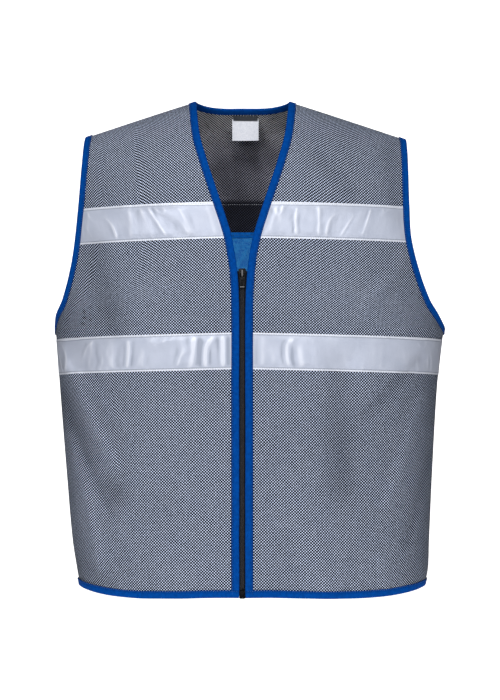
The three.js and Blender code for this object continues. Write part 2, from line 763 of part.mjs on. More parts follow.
// Pull: a plate with a window, whose upper bar passes through the bail. Its origin is on that bar's axis.
function pullGeometry() {
  const half = PULL_WIDTH / 2;
  const foot = PULL_PIN_RADIUS - PULL_LENGTH;
  const outline = new THREE.Shape();
  outline.moveTo(-half, PULL_PIN_RADIUS);
  outline.lineTo(-half, foot + PULL_TIP_RADIUS);
  outline.quadraticCurveTo(-half, foot, -half + PULL_TIP_RADIUS, foot);
  outline.lineTo(half - PULL_TIP_RADIUS, foot);
  outline.quadraticCurveTo(half, foot, half, foot + PULL_TIP_RADIUS);
  outline.lineTo(half, PULL_PIN_RADIUS);
  outline.closePath();
  const windowHalf = half - PULL_ARM;
  const windowFoot = -BAIL_REACH - PULL_CLEARANCE;
  const window = new THREE.Path();
  window.moveTo(-windowHalf, -PULL_PIN_RADIUS);
  window.lineTo(windowHalf, -PULL_PIN_RADIUS);
  window.lineTo(windowHalf, windowFoot);
  window.lineTo(-windowHalf, windowFoot);
  window.closePath();
  outline.holes.push(window);
  const depth = 2 * PULL_PIN_RADIUS;
  const plate = new THREE.ExtrudeGeometry(outline, { depth, bevelEnabled: false, curveSegments: 4 });
  return plate.translate(0, 0, -PULL_PIN_RADIUS).rotateX(HALF_PI);
}

// A tag that hangs straight down inside the neck, bent to the neckline's curve.
function tagGeometry(width, top, height, behind) {
  const corner = (x) => {
    const trim = napeInset(Math.asin(x / NECK_HALF), BINDING_WIDTH);
    return trim.point.clone().addScaledVector(trim.normal, -BINDING_THICKNESS / 2);
  };
  const level = corner(TAB_WIDTH / 2).z - GAP;
  const xs = [0, ...shares(TAG_COLUMNS)].map((share) => width * (share - 0.5));
  const normal = new THREE.Vector3(0, 1, 0);
  const grid = [top + height, top].map((drop) =>
    xs.map((x) => ({ point: new THREE.Vector3(x, corner(x).y + behind, level - drop), normal })),
  );
  return wall(grid, -TRIM / 2, TRIM / 2).translate(LABEL_SHIFT, 0, 0);
}

const MATERIALS = {
  mesh: { color: 0x7d8590, roughness: 0.9, metalness: 0 },
  binding: { color: 0x0b4a94, roughness: 0.7, metalness: 0 },
  silver: { color: 0xc6ccd4, roughness: 0.4, metalness: 0.3 },
  liner: { color: 0x2a6db4, roughness: 0.9, metalness: 0 },
  zipCloth: { color: 0x1c1f24, roughness: 0.8, metalness: 0 },
  zipMetal: { color: 0x24262b, roughness: 0.35, metalness: 0.7 },
  white: { color: 0xe9ebee, roughness: 0.7, metalness: 0 },
  black: { color: 0x23262c, roughness: 0.8, metalness: 0 },
};

const vest = new THREE.Group();

function add(name, geometry, look) {
  const mesh = new THREE.Mesh(geometry, new THREE.MeshStandardMaterial(MATERIALS[look]));
  mesh.name = name;
  vest.add(mesh);
  return mesh;
}

const fronts = { right: frontGrid(SIDES.right), left: frontGrid(SIDES.left) };
const back = backGrid();

for (const side of [SIDES.right, SIDES.left]) {
  const name = sideName(side);
  add(`front_panel_${name}`, wall(fronts[name], -CLOTH / 2, CLOTH / 2), "mesh");
  add(`armhole_binding_${name}`, armholeBinding(side), "binding");
  add(`chest_tape_front_${name}`, tape(fronts[name], CHEST_FIRST), "silver");
  add(`waist_tape_front_${name}`, tape(fronts[name], WAIST_FIRST), "silver");
  add(`zip_tape_${name}`, zipTape(side), "zipCloth");
}

add("back_panel", wall(back, -CLOTH / 2, CLOTH / 2), "mesh");
add("chest_tape_back", tape(back, CHEST_FIRST), "silver");
add("waist_tape_back", tape(back, WAIST_FIRST), "silver");
add("cooling_liner", coolingLiner(back), "liner");
add("liner_binding", linerBinding(back), "binding");
add("front_neck_binding", frontNeckBinding(), "binding");
add("hem_binding", hemBinding(fronts, back), "binding");

add("size_label", tagGeometry(TAB_WIDTH, 0, TAB_HEIGHT, 0), "black");
add("care_label", tagGeometry(LABEL_WIDTH, TAB_HEIGHT - LABEL_OVERLAP, LABEL_HEIGHT, TRIM + GAP), "white");

add("zip_coil", zipCoil(), "zipCloth");
const boxGeometry = box(2 * (ZIP_HALF_GAP - GAP), BOX_THICKNESS, BOX_HEIGHT, 0, 0, 0);
const zipBox = add("zip_box", boxGeometry, "zipMetal");
const boxZ = ZIP_FOOT_Z - GAP - BOX_HEIGHT / 2;
zipBox.position.copy(clothPoint(FRONT, 0, boxZ));
zipBox.position.y += BOX_SETBACK;

// The slider leans with the cloth at the head of the zip, and the pull lies flat along it.
const head = clothPoint(FRONT, 0, -ZIP_TOP_DROP);
const heel = clothPoint(FRONT, 0, -ZIP_TOP_DROP - SLIDER_HEIGHT);
const lean = Math.atan2(heel.y - head.y, head.z - heel.z);
const slider = add("zip_slider", sliderGeometry(), "zipMetal");
slider.position.copy(head);
slider.rotation.x = lean;
const pull = add("zip_pull", pullGeometry(), "zipMetal");
const hinge = new THREE.Vector3(0, SLIDER_FACE - BAIL_HOLLOW / 2, PULL_Z);
pull.position.copy(hinge.applyEuler(slider.rotation).add(head));
pull.rotation.x = lean;

export default vest;
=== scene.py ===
"""Looks of a cooling vest: two-tone mesh cloth, blue bindings, silver tapes, a front zip and a blue liner.

Metres. +Z is up, the fronts face -Y, +X is the wearer's left, and the origin lies between the neck points.
The cloth is worked out by the same surface as the solids, with finer folds and creases added.
"""
from collections import namedtuple
from math import pi

import bmesh
import bpy
import numpy as np
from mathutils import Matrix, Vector


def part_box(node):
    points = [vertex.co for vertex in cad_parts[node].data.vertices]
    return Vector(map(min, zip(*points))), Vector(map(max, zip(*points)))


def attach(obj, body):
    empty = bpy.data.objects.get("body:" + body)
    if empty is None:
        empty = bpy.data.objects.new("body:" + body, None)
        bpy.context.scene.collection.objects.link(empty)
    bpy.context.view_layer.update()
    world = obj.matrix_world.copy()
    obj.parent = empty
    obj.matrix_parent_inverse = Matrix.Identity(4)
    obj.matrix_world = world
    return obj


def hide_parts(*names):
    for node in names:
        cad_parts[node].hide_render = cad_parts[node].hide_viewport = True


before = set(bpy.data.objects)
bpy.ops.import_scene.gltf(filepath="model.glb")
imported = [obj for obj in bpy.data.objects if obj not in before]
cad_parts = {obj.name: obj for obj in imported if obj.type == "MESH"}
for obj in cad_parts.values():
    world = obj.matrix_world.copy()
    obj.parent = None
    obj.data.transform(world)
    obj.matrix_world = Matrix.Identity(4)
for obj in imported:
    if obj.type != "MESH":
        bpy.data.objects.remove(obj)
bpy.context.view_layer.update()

# Body of the vest
BODY_LENGTH = 0.688
CHEST_HALF_RIGHT = 0.265
CHEST_HALF_LEFT = 0.286
FRONT_DEPTH = 0.126
BACK_DEPTH = 0.112

# Shoulders, neck and armholes
SHOULDER_HALF_RIGHT = 0.222
SHOULDER_HALF_LEFT = 0.231
SHOULDER_DROP = 0.052
SHOULDER_ROUND = 0.17
NECK_HALF = 0.066
NECK_BACK = 0.05
NAPE_ROUND = 0.03
VEE_DROP = 0.3
ARMPIT_DROP = 0.32
ARMHOLE_OPENING = 0.008
ARMHOLE_ROUND = 0.06

# Cloth and trims
CLOTH = 0.0012
SEAM_GAP = 0.0003
TAPE_THICKNESS = 0.0004
TAPE_LIFT = 0.0007
TAPE_SEAM = 0.003
BINDING_WIDTH = 0.01
BINDING_OUTER = 0.0021
LINER_FRONT = 0.0012
LINER_THICKNESS = 0.0018

# Silver tapes, by the drop of their upper edge below the neck points
TAPE_WIDTH = 0.05
CHEST_TAPE_DROP = 0.148
CHEST_TAPE_SAG_RIGHT = 0.007
CHEST_TAPE_SAG_LEFT = 0.004
BACK_TAPE_DROP = 0.135
WAIST_TAPE_DROP = 0.327
WAIST_TAPE_SAG = 0.01
LINER_EDGE_WIDTH = 0.007

# Zip
ZIP_HALF_GAP = 0.0048
ZIP_TAPE_WIDTH = 0.014
ZIP_TAPE_THICKNESS = 0.0007
ZIP_TOP_DROP = 0.24
ZIP_BACK = -0.0023
COIL_HALF = 0.003
COIL_FRONT = -0.0003
TOOTH_PITCH = 0.0013
TOOTH_RADIUS = 0.00056
TOOTH_CROSS = 0.12

# Fold depths and widths that the tables' shares refer to
FOLD_DEPTH = 0.008
FOLD_WIDTH = 0.022
FOLD_FADE = 0.35
DRAPE_DEPTH = 0.0016
DRAPE_SIZE = 0.085
RIPPLE_DEPTH = 0.0006
RIPPLE_SIZE = 0.03
ZIP_HOLD = 0.04
HEM_DIP = 0.004
HEM_RISE = 0.005
HEM_REACH = 0.12

# How finely the pieces are divided
CLOTH_CELL = 0.0045
TAPE_CELL = 0.0014
TAPE_ROW = 0.002
TRIM_CELL = 0.0035
LINER_CELL = 0.006
LINER_PUFF = 0.0007
WEAVE = 0.004
STITCH_PITCH = 0.0032
STITCH_LENGTH = 0.0023
STITCH_RADIUS = 0.00032
BINDING_RIB = 0.0007
TAG_RIB = 0.0005
ZIP_RIB = 0.0011

# Body from the armpit (0) to the hem (1), as shares of the chest's half widths and of the depths
LOWER_BODY = {
    "down": (0.0, 0.06, 0.24, 0.58, 0.81, 0.93, 1.0),
    "right": (1.0, 0.992, 0.974, 0.936, 0.908, 0.882, 0.864),
    "left": (1.0, 0.986, 0.962, 0.937, 0.924, 0.917, 0.896),
    "front": (1.0, 1.0, 1.0, 0.99, 0.99, 0.985, 0.98),
    "back": (0.97, 0.96, 0.93, 0.94, 0.98, 1.0, 1.0),
    "round": (1.08, 1.08, 1.06, 1.04, 1.02, 1.0, 1.0),
}

# Depth of the chest from the armpit (0) to the neck points (1)
UPPER_BODY = {
    "up": (0.0, 0.4, 0.7, 1.0),
    "front": (1.0, 0.94, 0.92, 0.92),
    "back": (0.97, 1.0, 1.0, 1.0),
}

# Armhole edge from the armpit (0) to the shoulder tip (1), as shares of the way in to the tip
ARMHOLE = {
    "up": (0.0, 0.07, 0.15, 0.31, 0.47, 0.63, 0.8, 1.0),
    "right": (0.0, 0.08, 0.33, 0.61, 0.77, 0.86, 0.93, 1.0),
    "left": (0.0, 0.21, 0.47, 0.76, 0.95, 0.99, 1.0, 1.0),
}

# Neckline from the foot of the V (0) to the neck point (1), as shares of the way out to the neck point
VEE = {
    "up": (0.0, 0.13, 0.25, 0.37, 0.59, 0.7, 0.82, 1.0),
    "half": (0.0, 0.02, 0.08, 0.2, 0.55, 0.725, 0.887, 1.0),
}

# Folds, each a line from one place to another. across is a share of the chest's half width and down of the
# length. depth and width are shares of the fold's named sizes.
Fold = namedtuple("Fold", "across down to_across to_down depth width")
FRONT_FOLDS = [
    Fold(-0.97, 0.51, -0.72, 0.75, 0.8, 0.8),
    Fold(-0.94, 0.6, -0.66, 0.8, -0.8, 0.7),
    Fold(-0.92, 0.7, -0.76, 0.92, 0.7, 0.7),
    Fold(-0.78, 0.3, -0.68, 0.46, -0.6, 0.9),
    Fold(0.46, 0.54, 0.48, 0.78, -0.6, 1.0),
    Fold(0.24, 0.78, 0.4, 0.97, 0.6, 0.9),
    Fold(0.72, 0.1, 0.76, 0.24, -0.4, 0.6),
    Fold(-0.93, 0.54, -0.66, 0.74, 0.45, 0.3),
    Fold(-0.86, 0.56, -0.6, 0.66, 0.3, 0.3),
    Fold(-0.9, 0.66, -0.68, 0.84, -0.4, 0.3),
    Fold(-0.84, 0.78, -0.74, 0.95, 0.35, 0.3),
    Fold(-0.7, 0.93, -0.62, 0.99, 0.2, 0.3),
    Fold(-0.5, 0.92, -0.46, 0.99, -0.18, 0.3),
    Fold(0.66, 0.92, 0.7, 0.99, 0.2, 0.3),
    Fold(0.52, 0.93, 0.5, 0.99, -0.18, 0.3),
    Fold(0.78, 0.32, 0.6, 0.42, 0.3, 0.4),
    Fold(0.86, 0.53, 0.6, 0.64, -0.4, 0.4),
    Fold(0.88, 0.6, 0.7, 0.82, 0.4, 0.4),
    Fold(0.92, 0.72, 0.8, 0.9, -0.35, 0.35),
    Fold(-0.4, 0.12, -0.62, 0.22, 0.3, 0.5),
    Fold(0.36, 0.12, 0.55, 0.2, -0.3, 0.5),
]
BACK_FOLDS = [
    Fold(-0.5, 0.62, -0.62, 0.95, 0.6, 1.0),
    Fold(0.45, 0.6, 0.58, 0.96, 0.7, 1.1),
    Fold(-0.72, 0.44, -0.5, 0.56, -0.5, 0.8),
    Fold(0.75, 0.44, 0.52, 0.58, -0.5, 0.8),
    Fold(-0.1, 0.6, -0.16, 0.97, 0.25, 0.6),
    Fold(0.16, 0.58, 0.2, 0.97, -0.25, 0.6),
    Fold(-0.84, 0.5, -0.6, 0.7, 0.25, 0.4),
    Fold(0.84, 0.5, 0.62, 0.72, 0.25, 0.4),
]

ARMPIT_Z = -ARMPIT_DROP
HEM_Z = -BODY_LENGTH
RIGHT = -1
LEFT = 1
CHEST = {RIGHT: CHEST_HALF_RIGHT, LEFT: CHEST_HALF_LEFT}
SHOULDER = {RIGHT: SHOULDER_HALF_RIGHT, LEFT: SHOULDER_HALF_LEFT}
SAG = {RIGHT: CHEST_TAPE_SAG_RIGHT, LEFT: CHEST_TAPE_SAG_LEFT}
SIDE_NAME = {RIGHT: "right", LEFT: "left"}
Face = namedtuple("Face", "name out depth folds tape seed")
FRONT = Face("front", -1, FRONT_DEPTH, FRONT_FOLDS, -CHEST_TAPE_DROP, 11)
BACK = Face("back", 1, BACK_DEPTH, BACK_FOLDS, -BACK_TAPE_DROP, 23)


def lerp(low, high, share):
    return low + (high - low) * share


def unit(vectors):
    return vectors / np.maximum(np.linalg.norm(vectors, axis=-1, keepdims=True), 1e-12)


def smooth(share):
    share = np.clip(share, 0, 1)
    return share * share * (3 - 2 * share)


def read(table, key, column, at):
    """The value of a column at places between its rows, on one smooth curve through them."""
    keys, values = np.array(table[key]), np.array(table[column])
    slopes = np.empty_like(values)
    slopes[1:-1] = (values[2:] - values[:-2]) / (keys[2:] - keys[:-2])
    slopes[0] = (values[1] - values[0]) / (keys[1] - keys[0])
    slopes[-1] = (values[-1] - values[-2]) / (keys[-1] - keys[-2])
    i = np.searchsorted(keys[1:-1], at, side="left")
    span = keys[i + 1] - keys[i]
    t = np.clip((at - keys[i]) / span, 0, 1)
    return (
        values[i] * (2 * t**3 - 3 * t**2 + 1)
        + values[i + 1] * (3 * t**2 - 2 * t**3)
        + slopes[i] * span * (t**3 - 2 * t**2 + t)
        + slopes[i + 1] * span * (t**3 - t**2)
    )


def noise(u, v, size, seed):
    """Smooth seeded noise between -1 and 1, with lumps of the given size."""
    lattice = np.random.default_rng(seed).uniform(-1, 1, (64, 64))
    a, b = np.broadcast_arrays(u / size + 20.4, v / size + 20.7)
    i, j = np.floor(a).astype(int), np.floor(b).astype(int)
    p, q = smooth(a - i), smooth(b - j)
    low = lerp(lattice[i % 64, j % 64], lattice[(i + 1) % 64, j % 64], p)
    high = lerp(lattice[i % 64, (j + 1) % 64], lattice[(i + 1) % 64, (j + 1) % 64], p)
    return lerp(low, high, q)


def soft_distance(x):
    return np.hypot(x, NAPE_ROUND) - NAPE_ROUND


SHOULDER_MEAN = (SHOULDER_HALF_RIGHT + SHOULDER_HALF_LEFT) / 2
SHOULDER_SLOPE = SHOULDER_DROP / (soft_distance(SHOULDER_MEAN) - soft_distance(NECK_HALF))


def shoulder_z(x):
    """Height of the shoulder line, which runs on across the nape."""
    return SHOULDER_SLOPE * (soft_distance(NECK_HALF) - soft_distance(x))


def down_share(z):
    return (ARMPIT_Z - z) / (ARMPIT_Z - HEM_Z)


def by_side(sign, right, left):
    return np.where(np.asarray(sign) < 0, right, left)


def body_depth(face, z):
    lower = read(LOWER_BODY, "down", face.name, down_share(z))
    upper = read(UPPER_BODY, "up", face.name, (z - ARMPIT_Z) / ARMPIT_DROP)
    return face.depth * np.where(z < ARMPIT_Z, lower, upper)


def roundness(z):
    return read(LOWER_BODY, "down", "round", down_share(z))


def armhole_half(sign, z):
    tip = shoulder_z(SHOULDER[sign])
    inward = read(ARMHOLE, "up", SIDE_NAME[sign], (z - ARMPIT_Z) / (tip - ARMPIT_Z))
    return lerp(CHEST[sign], SHOULDER[sign], inward)


def section_half(sign, z):
    """Half width of the section that the cloth lies on."""
    share = down_share(z)
    right = CHEST_HALF_RIGHT * read(LOWER_BODY, "down", "right", share)
    left = CHEST_HALF_LEFT * read(LOWER_BODY, "down", "left", share)
    opening = ARMHOLE_OPENING * smooth((z - ARMPIT_Z) / ARMHOLE_ROUND)
    above = by_side(sign, CHEST_HALF_RIGHT, CHEST_HALF_LEFT) + opening
    return np.where(z <= ARMPIT_Z, by_side(sign, right, left), above)


def edge_angle(sign, z):
    """The armhole's edge as an angle round the section: the side seam below the armpit, further in above."""
    reach = np.clip(armhole_half(sign, z) / section_half(sign, z), 0, 1)
    return np.where(z <= ARMPIT_Z, pi / 2, np.arcsin(reach))


def crown(drop):
    return np.sqrt(1 - (1 - np.clip(drop / SHOULDER_ROUND, 0, 1)) ** 2)


def fold_height(face, x, z):
    """Height of the folds and of the soft unevenness between them, which is flat at the zip."""
    chest = by_side(x, CHEST_HALF_RIGHT, CHEST_HALF_LEFT)
    uneven = DRAPE_DEPTH * noise(x, z, DRAPE_SIZE, face.seed)
    uneven = uneven + RIPPLE_DEPTH * noise(x, z * 0.6, RIPPLE_SIZE, face.seed + 1)
    height = uneven * (smooth(np.abs(x) / ZIP_HOLD) if face is FRONT else 1)
    for fold in face.folds:
        from_x, from_z = fold.across * chest, -fold.down * BODY_LENGTH
        along_x, along_z = fold.to_across * chest - from_x, -fold.to_down * BODY_LENGTH - from_z
        share = ((x - from_x) * along_x + (z - from_z) * along_z) / (along_x**2 + along_z**2)
        share = np.clip(share, 0, 1)
        away = np.hypot(x - from_x - along_x * share, z - from_z - along_z * share)
        height = height + fold.depth * FOLD_DEPTH * np.exp(-((away / (fold.width * FOLD_WIDTH)) ** 2))
    return height


def cloth_point(face, angle, z):
    """Points of the cloth's middle surface, by the angle round the section (0 in front) and the height."""
    angle, z = np.broadcast_arrays(np.asarray(angle, float), np.asarray(z, float))
    x = section_half(angle, z) * np.sin(angle)
    inside = np.clip(np.cos(angle), 0, 1)
    rise = crown(shoulder_z(x) - z)
    bulge = body_depth(face, z) * inside ** roundness(z) * rise
    fade = np.minimum(inside / FOLD_FADE, 1) * rise
    y = face.out * (SEAM_GAP / 2 + bulge + fold_height(face, x, z) * fade**2)
    return np.stack([x, y, z], -1)


def angle_at(x, z):
    return np.arcsin(np.clip(x / section_half(x, z), -1, 1))


def vee_half(z):
    return lerp(ZIP_HALF_GAP, NECK_HALF, read(VEE, "up", "half", 1 + z / VEE_DROP))


def nape_place(x, y):
    """Angle and height of the back's cloth over a place in plan."""
    z = shoulder_z(x)
    for _ in range(24):
        inside = np.clip(np.cos(angle_at(x, z)), 0, 1) ** roundness(z)
        share = np.clip((y - SEAM_GAP / 2) / (body_depth(BACK, z) * inside), 0, 1)
        z = shoulder_z(x) - SHOULDER_ROUND * (1 - np.sqrt(1 - share**2))
    return angle_at(x, z), z


def hem_rise(angle, z):
    """Rise of the cloth near the hem: up at the sides, and down between them and the zip."""
    rise = HEM_RISE * np.sin(np.abs(angle)) ** 6 - HEM_DIP * np.sin(2 * np.abs(angle)) ** 2
    return rise * smooth(1 - (z - HEM_Z) / HEM_REACH)


# The bands of rows between the hem, the two tapes, the armpit and the shoulder
SKIRT, WAIST_TAPE, FLANK, SIDE, CHEST_TAPE, YOKE = range(6)


def levels(face, sign, band, shares):
    """Heights of a band's rows in the middle and at the outer edge, and how far they follow the shoulder."""
    sag = SAG[sign] if face is FRONT else 0
    waist = -WAIST_TAPE_DROP
    stops = [
        (HEM_Z, HEM_Z),
        (waist - TAPE_WIDTH, waist - TAPE_WIDTH - WAIST_TAPE_SAG),
        (waist, waist - WAIST_TAPE_SAG),
        (ARMPIT_Z, ARMPIT_Z),
        (face.tape - TAPE_WIDTH, face.tape - TAPE_WIDTH - sag),
        (face.tape, face.tape - sag),
        (0.0, float(shoulder_z(SHOULDER[sign]))),
    ]
    (low, outer_low), (high, outer_high) = stops[band : band + 2]
    ease = 1 - (1 - shares) ** 2
    middle = lerp(low, high, ease if band == YOKE else shares)
    outer = lerp(outer_low, outer_high, {SIDE: shares**2, YOKE: ease}.get(band, shares))
    lift = shares if band == YOKE else 0 * shares
    return np.stack([middle, outer, lift])


def even_shares(size, cell):
    return np.linspace(0, 1, max(int(round(size / cell)), 2) + 1)


def band_shares(face, band, cell):
    """Even shares up a band, both ends included."""
    skirt, side = BODY_LENGTH - WAIST_TAPE_DROP - TAPE_WIDTH, ARMPIT_DROP + face.tape - TAPE_WIDTH
    heights = (skirt, TAPE_WIDTH, WAIST_TAPE_SAG, side, TAPE_WIDTH, -face.tape * YOKE_STRETCH)
    return even_shares(heights[band], cell)


# Painted shade of the inside's light dots below the yoke and at its foot, fading to none at its top.
YOKE_SHADE = 0.5
YOKE_STRETCH = 1.2


def rows_of(face, sign, cell, bands=range(6)):
    """The rows of several bands in one array, and the painted shade of their inside's light dots, which stand
    for light through the holes: from 1 behind a tape to 0.
    """
    parts = []
    backlight_shade = []
    for band in bands:
        shares = band_shares(face, band, cell)
        shares = shares if not parts else shares[1:]
        parts.append(levels(face, sign, band, shares))
        shade = 1 - shares if band == YOKE else 1 + 0 * shares
        backlight_shade.append(1 + 0 * shares if band in (WAIST_TAPE, CHEST_TAPE) else YOKE_SHADE * shade)
    return np.concatenate(parts, axis=1), np.concatenate(backlight_shade)


def front_points(sign, rows, shares):
    """Points of a front: rows from the edge of the V or zip (share 0) to the seam or armhole (share 1)."""
    middle, outer, lift = (row[:, None] for row in rows)
    inner_x = sign * vee_half(middle)
    outer_angle = sign * edge_angle(sign, outer)
    angle = lerp(angle_at(inner_x, middle), outer_angle, shares)
    level = lerp(middle, outer, shares)
    x = section_half(sign, level) * np.sin(angle)
    outer_x = section_half(sign, outer) * np.sin(outer_angle)
    drop = lerp(shoulder_z(inner_x) - middle, shoulder_z(outer_x) - outer, shares)
    z = lerp(level, shoulder_z(x) - drop, lift)
    return cloth_point(FRONT, angle, z + hem_rise(angle, z))


SHOULDER_SHARE = 0.316


def back_top(shares):
    """Angle and height of the back's top row: the right shoulder, the neckline and the left shoulder."""
    turn = lerp(-pi / 2, pi / 2, np.clip((shares - SHOULDER_SHARE) / (1 - 2 * SHOULDER_SHARE), 0, 1))
    angle, z = nape_place(NECK_HALF * np.sin(turn), SEAM_GAP / 2 + NECK_BACK * np.cos(turn))
    for sign in (RIGHT, LEFT):
        along = (shares if sign == RIGHT else 1 - shares) / SHOULDER_SHARE
        x = sign * lerp(SHOULDER[sign], NECK_HALF, np.minimum(along, 1))
        angle = np.where(along < 1, angle_at(x, shoulder_z(x)), angle)
        z = np.where(along < 1, shoulder_z(x), z)
    return angle, z


def back_points(right, left, shares):
    """Points of the back: rows from the right edge (share 0) to the left edge (share 1)."""
    middle, outer_right, lift = (row[:, None] for row in right)
    outer_left = left[1][:, None]
    from_angle = -edge_angle(RIGHT, outer_right)
    to_angle = edge_angle(LEFT, outer_left)
    angle = lerp(from_angle, to_angle, shares)
    end = np.where(shares < 0.5, outer_right, outer_left)
    z = lerp(middle, end, (2 * shares - 1) ** 2)
    yoke = lift[:, 0] > 0
    if yoke.any():
        foot_angle = lerp(-edge_angle(RIGHT, -BACK_TAPE_DROP), edge_angle(LEFT, -BACK_TAPE_DROP), shares)
        top_angle, top_z = back_top(shares)
        up = lift[yoke]
        mid_angle = lerp(foot_angle, top_angle, up)
        edge_weight = smooth(1 - shares / 0.2), smooth(1 - (1 - shares) / 0.2)
        mid_angle = mid_angle + edge_weight[0] * (from_angle[yoke] - mid_angle[:, :1])
        mid_angle = mid_angle + edge_weight[1] * (to_angle[yoke] - mid_angle[:, -1:])
        angle[yoke] = mid_angle
        z[yoke] = lerp(-BACK_TAPE_DROP, top_z, 1 - (1 - up) ** 2)
    return cloth_point(BACK, angle, z + hem_rise(angle, z))


def grid_normals(points, out):
    """The way out from a grid of points."""
    normals = unit(np.cross(np.gradient(points, axis=1), np.gradient(points, axis=0)))
    return -normals if np.sum(normals[..., 1]) * out < 0 else normals


def run_length(points):
    """Length of a line up to each of its points."""
    return np.concatenate([[0], np.cumsum(np.linalg.norm(np.diff(points, axis=0), axis=1))])


def chart(points, start=0.0):
    """Flat coordinates of a grid, in metres: along its rows, each from its start, and up its columns."""
    across = np.linalg.norm(np.diff(points, axis=1), axis=2)
    up = np.linalg.norm(np.diff(points, axis=0), axis=2)
    u = np.pad(np.cumsum(across, axis=1), ((0, 0), (1, 0)))
    v = np.pad(np.cumsum(up, axis=0), ((1, 0), (0, 0)))
    return np.stack([u + np.reshape(start, (-1, 1)), v], -1)


def shifted_quads(a, b, c, d):
    return np.stack([a, b, c, d], -1).reshape(-1, 4)


def wall_faces(rows, columns):
    """Faces of a closed wall between two layers of a grid: the outer layer, the inner one and the rim."""
    at = np.arange(rows * columns).reshape(rows, columns)
    a, b, c, d = at[:-1, :-1], at[:-1, 1:], at[1:, 1:], at[1:, :-1]
    step = rows * columns
    border = np.concatenate([at[0, :], at[1:, -1], at[-1, -2::-1], at[-2:0:-1, 0]])
    after = np.roll(border, -1)
    return [
        shifted_quads(a, b, c, d),
        shifted_quads(a + step, d + step, c + step, b + step),
        shifted_quads(after, border, border + step, after + step),
    ]


def mesh_object(name, points, faces, looks, uvs=None, look_ids=None, sharp=None):
    """A new object from points and faces, shaded smooth."""
    mesh = bpy.data.meshes.new(name)
    mesh.from_pydata(points.tolist(), [], [list(face) for face in faces])
    for look in looks:
        mesh.materials.append(look)
    if look_ids is not None:
        mesh.polygons.foreach_set("material_index", look_ids)
    if uvs is not None:
        corners = np.empty(len(mesh.loops), np.int32)
        mesh.loops.foreach_get("vertex_index", corners)
        mesh.uv_layers.new(name="cloth").data.foreach_set("uv", uvs[corners].ravel())
    mesh.shade_smooth()
    if sharp is not None:
        mesh.set_sharp_from_angle(angle=sharp)
    made = bpy.data.objects.new(name, mesh)
    bpy.context.scene.collection.objects.link(made)
    return made


def wall(name, points, normals, low, high, looks, uvs, **shades):
    """A closed wall of cloth between two offsets from a grid of points. The last look is the inner face's.

    Each shade is a value for every point of the grid, kept as an attribute of that name for the looks.
    """
    rows, columns = points.shape[:2]
    layers = np.stack([points + normals * offset for offset in (high, low)])
    outer, inner, rim = wall_faces(rows, columns)
    faces = np.concatenate([outer, inner, rim])
    first, along, above = layers[0, 0, 0], layers[0, 0, 1], layers[0, 1, 0]
    if np.dot(np.cross(along - first, above - first), normals[0, 0]) < 0:
        faces = faces[:, ::-1]
    ids = np.repeat([0, len(looks) - 1, 0], [len(outer), len(inner), len(rim)])
    both = np.tile(uvs.reshape(-1, 2), (2, 1))
    made = mesh_object(name, layers.reshape(-1, 3), faces.tolist(), looks, both, ids, sharp=WALL_CORNER)
    for key, values in shades.items():
        every = np.tile(np.broadcast_to(values, (rows, columns)).ravel(), 2).astype(np.float32)
        made.data.attributes.new(key, "FLOAT", "POINT").data.foreach_set("value", every)
    return made


def tube_faces(count, size, closed):
    """Faces of a strip of rings, closed on itself or with flat ends."""
    at = np.arange(count * size).reshape(count, size)
    after = np.roll(at, -1, axis=1)
    low, low_after = (at, after) if closed else (at[:-1], after[:-1])
    high, high_after = np.roll(at, -1, axis=0), np.roll(after, -1, axis=0)
    if not closed:
        high, high_after = high[:-1], high_after[:-1]
    faces = shifted_quads(low, low_after, high_after, high).tolist()
    if not closed:
        faces += [at[0, ::-1].tolist(), at[-1].tolist()]
    return faces


def resample(points, normals, step):
    """A line again at even steps, with its normals."""
    lengths = run_length(points)
    at = np.linspace(0, lengths[-1], max(int(round(lengths[-1] / step)), 2) + 1)
    pick = lambda values: np.stack([np.interp(at, lengths, values[:, k]) for k in range(3)], -1)
    return pick(points), unit(pick(normals))


# How sharp an edge has to be, in radians, to be shaded as a corner
WALL_CORNER = 1.0
BINDING_CORNER = 1.1
METAL_CORNER = 0.6

CAPSULE = ((0.0, 0.0), (0.22, 1.0), (0.78, 1.0), (1.0, 0.0))
TOOTH = ((0.0, 0.0), (0.06, 0.72), (0.2, 1.0), (0.8, 1.0), (0.94, 0.72), (1.0, 0.0))


def capsules(name, start, end, up, radius, sides, profile, look):
    """Small rounded bars joined in one mesh. profile gives rings as (share along, share of the radius)."""
    along = end - start
    tangent = unit(along)
    side = unit(np.cross(tangent, up))
    over = np.cross(side, tangent)
    turns = np.arange(sides)[:, None] * 2 * pi / sides
    ring = np.cos(turns) * side[:, None] + np.sin(turns) * over[:, None]
    rings = []
    for share, width in profile:
        centre = (start + along * share)[:, None]
        rings.append(centre + ring * radius * width if width else centre)
    each = np.concatenate(rings, axis=1)
    size = each.shape[1]
    at = np.arange(1, size - 1).reshape(-1, sides)
    after = np.roll(at, -1, axis=1)
    faces = shifted_quads(at[:-1], after[:-1], after[1:], at[1:]).tolist()
    faces += [[0, b, a] for a, b in zip(at[0].tolist(), after[0].tolist())]
    faces += [[size - 1, a, b] for a, b in zip(at[-1].tolist(), after[-1].tolist())]
    every = [[index + i * size for index in face] for i in range(len(each)) for face in faces]
    return mesh_object(name, each.reshape(-1, 3), every, [look])


def stitches(name, paths, look):
    """Stitches along several lines, each given by its points and the ways out there."""
    starts, ends, ups = [], [], []
    for path, normals in paths:
        points, ways = resample(path, normals, STITCH_PITCH)
        half = unit(np.gradient(points, axis=0)) * STITCH_LENGTH / 2
        starts.append((points - half)[1:-1])
        ends.append((points + half)[1:-1])
        ups.append(ways[1:-1])
    start, end, up = (np.concatenate(part) for part in (starts, ends, ups))
    return capsules(name, start, end, up, STITCH_RADIUS, 4, CAPSULE, look)


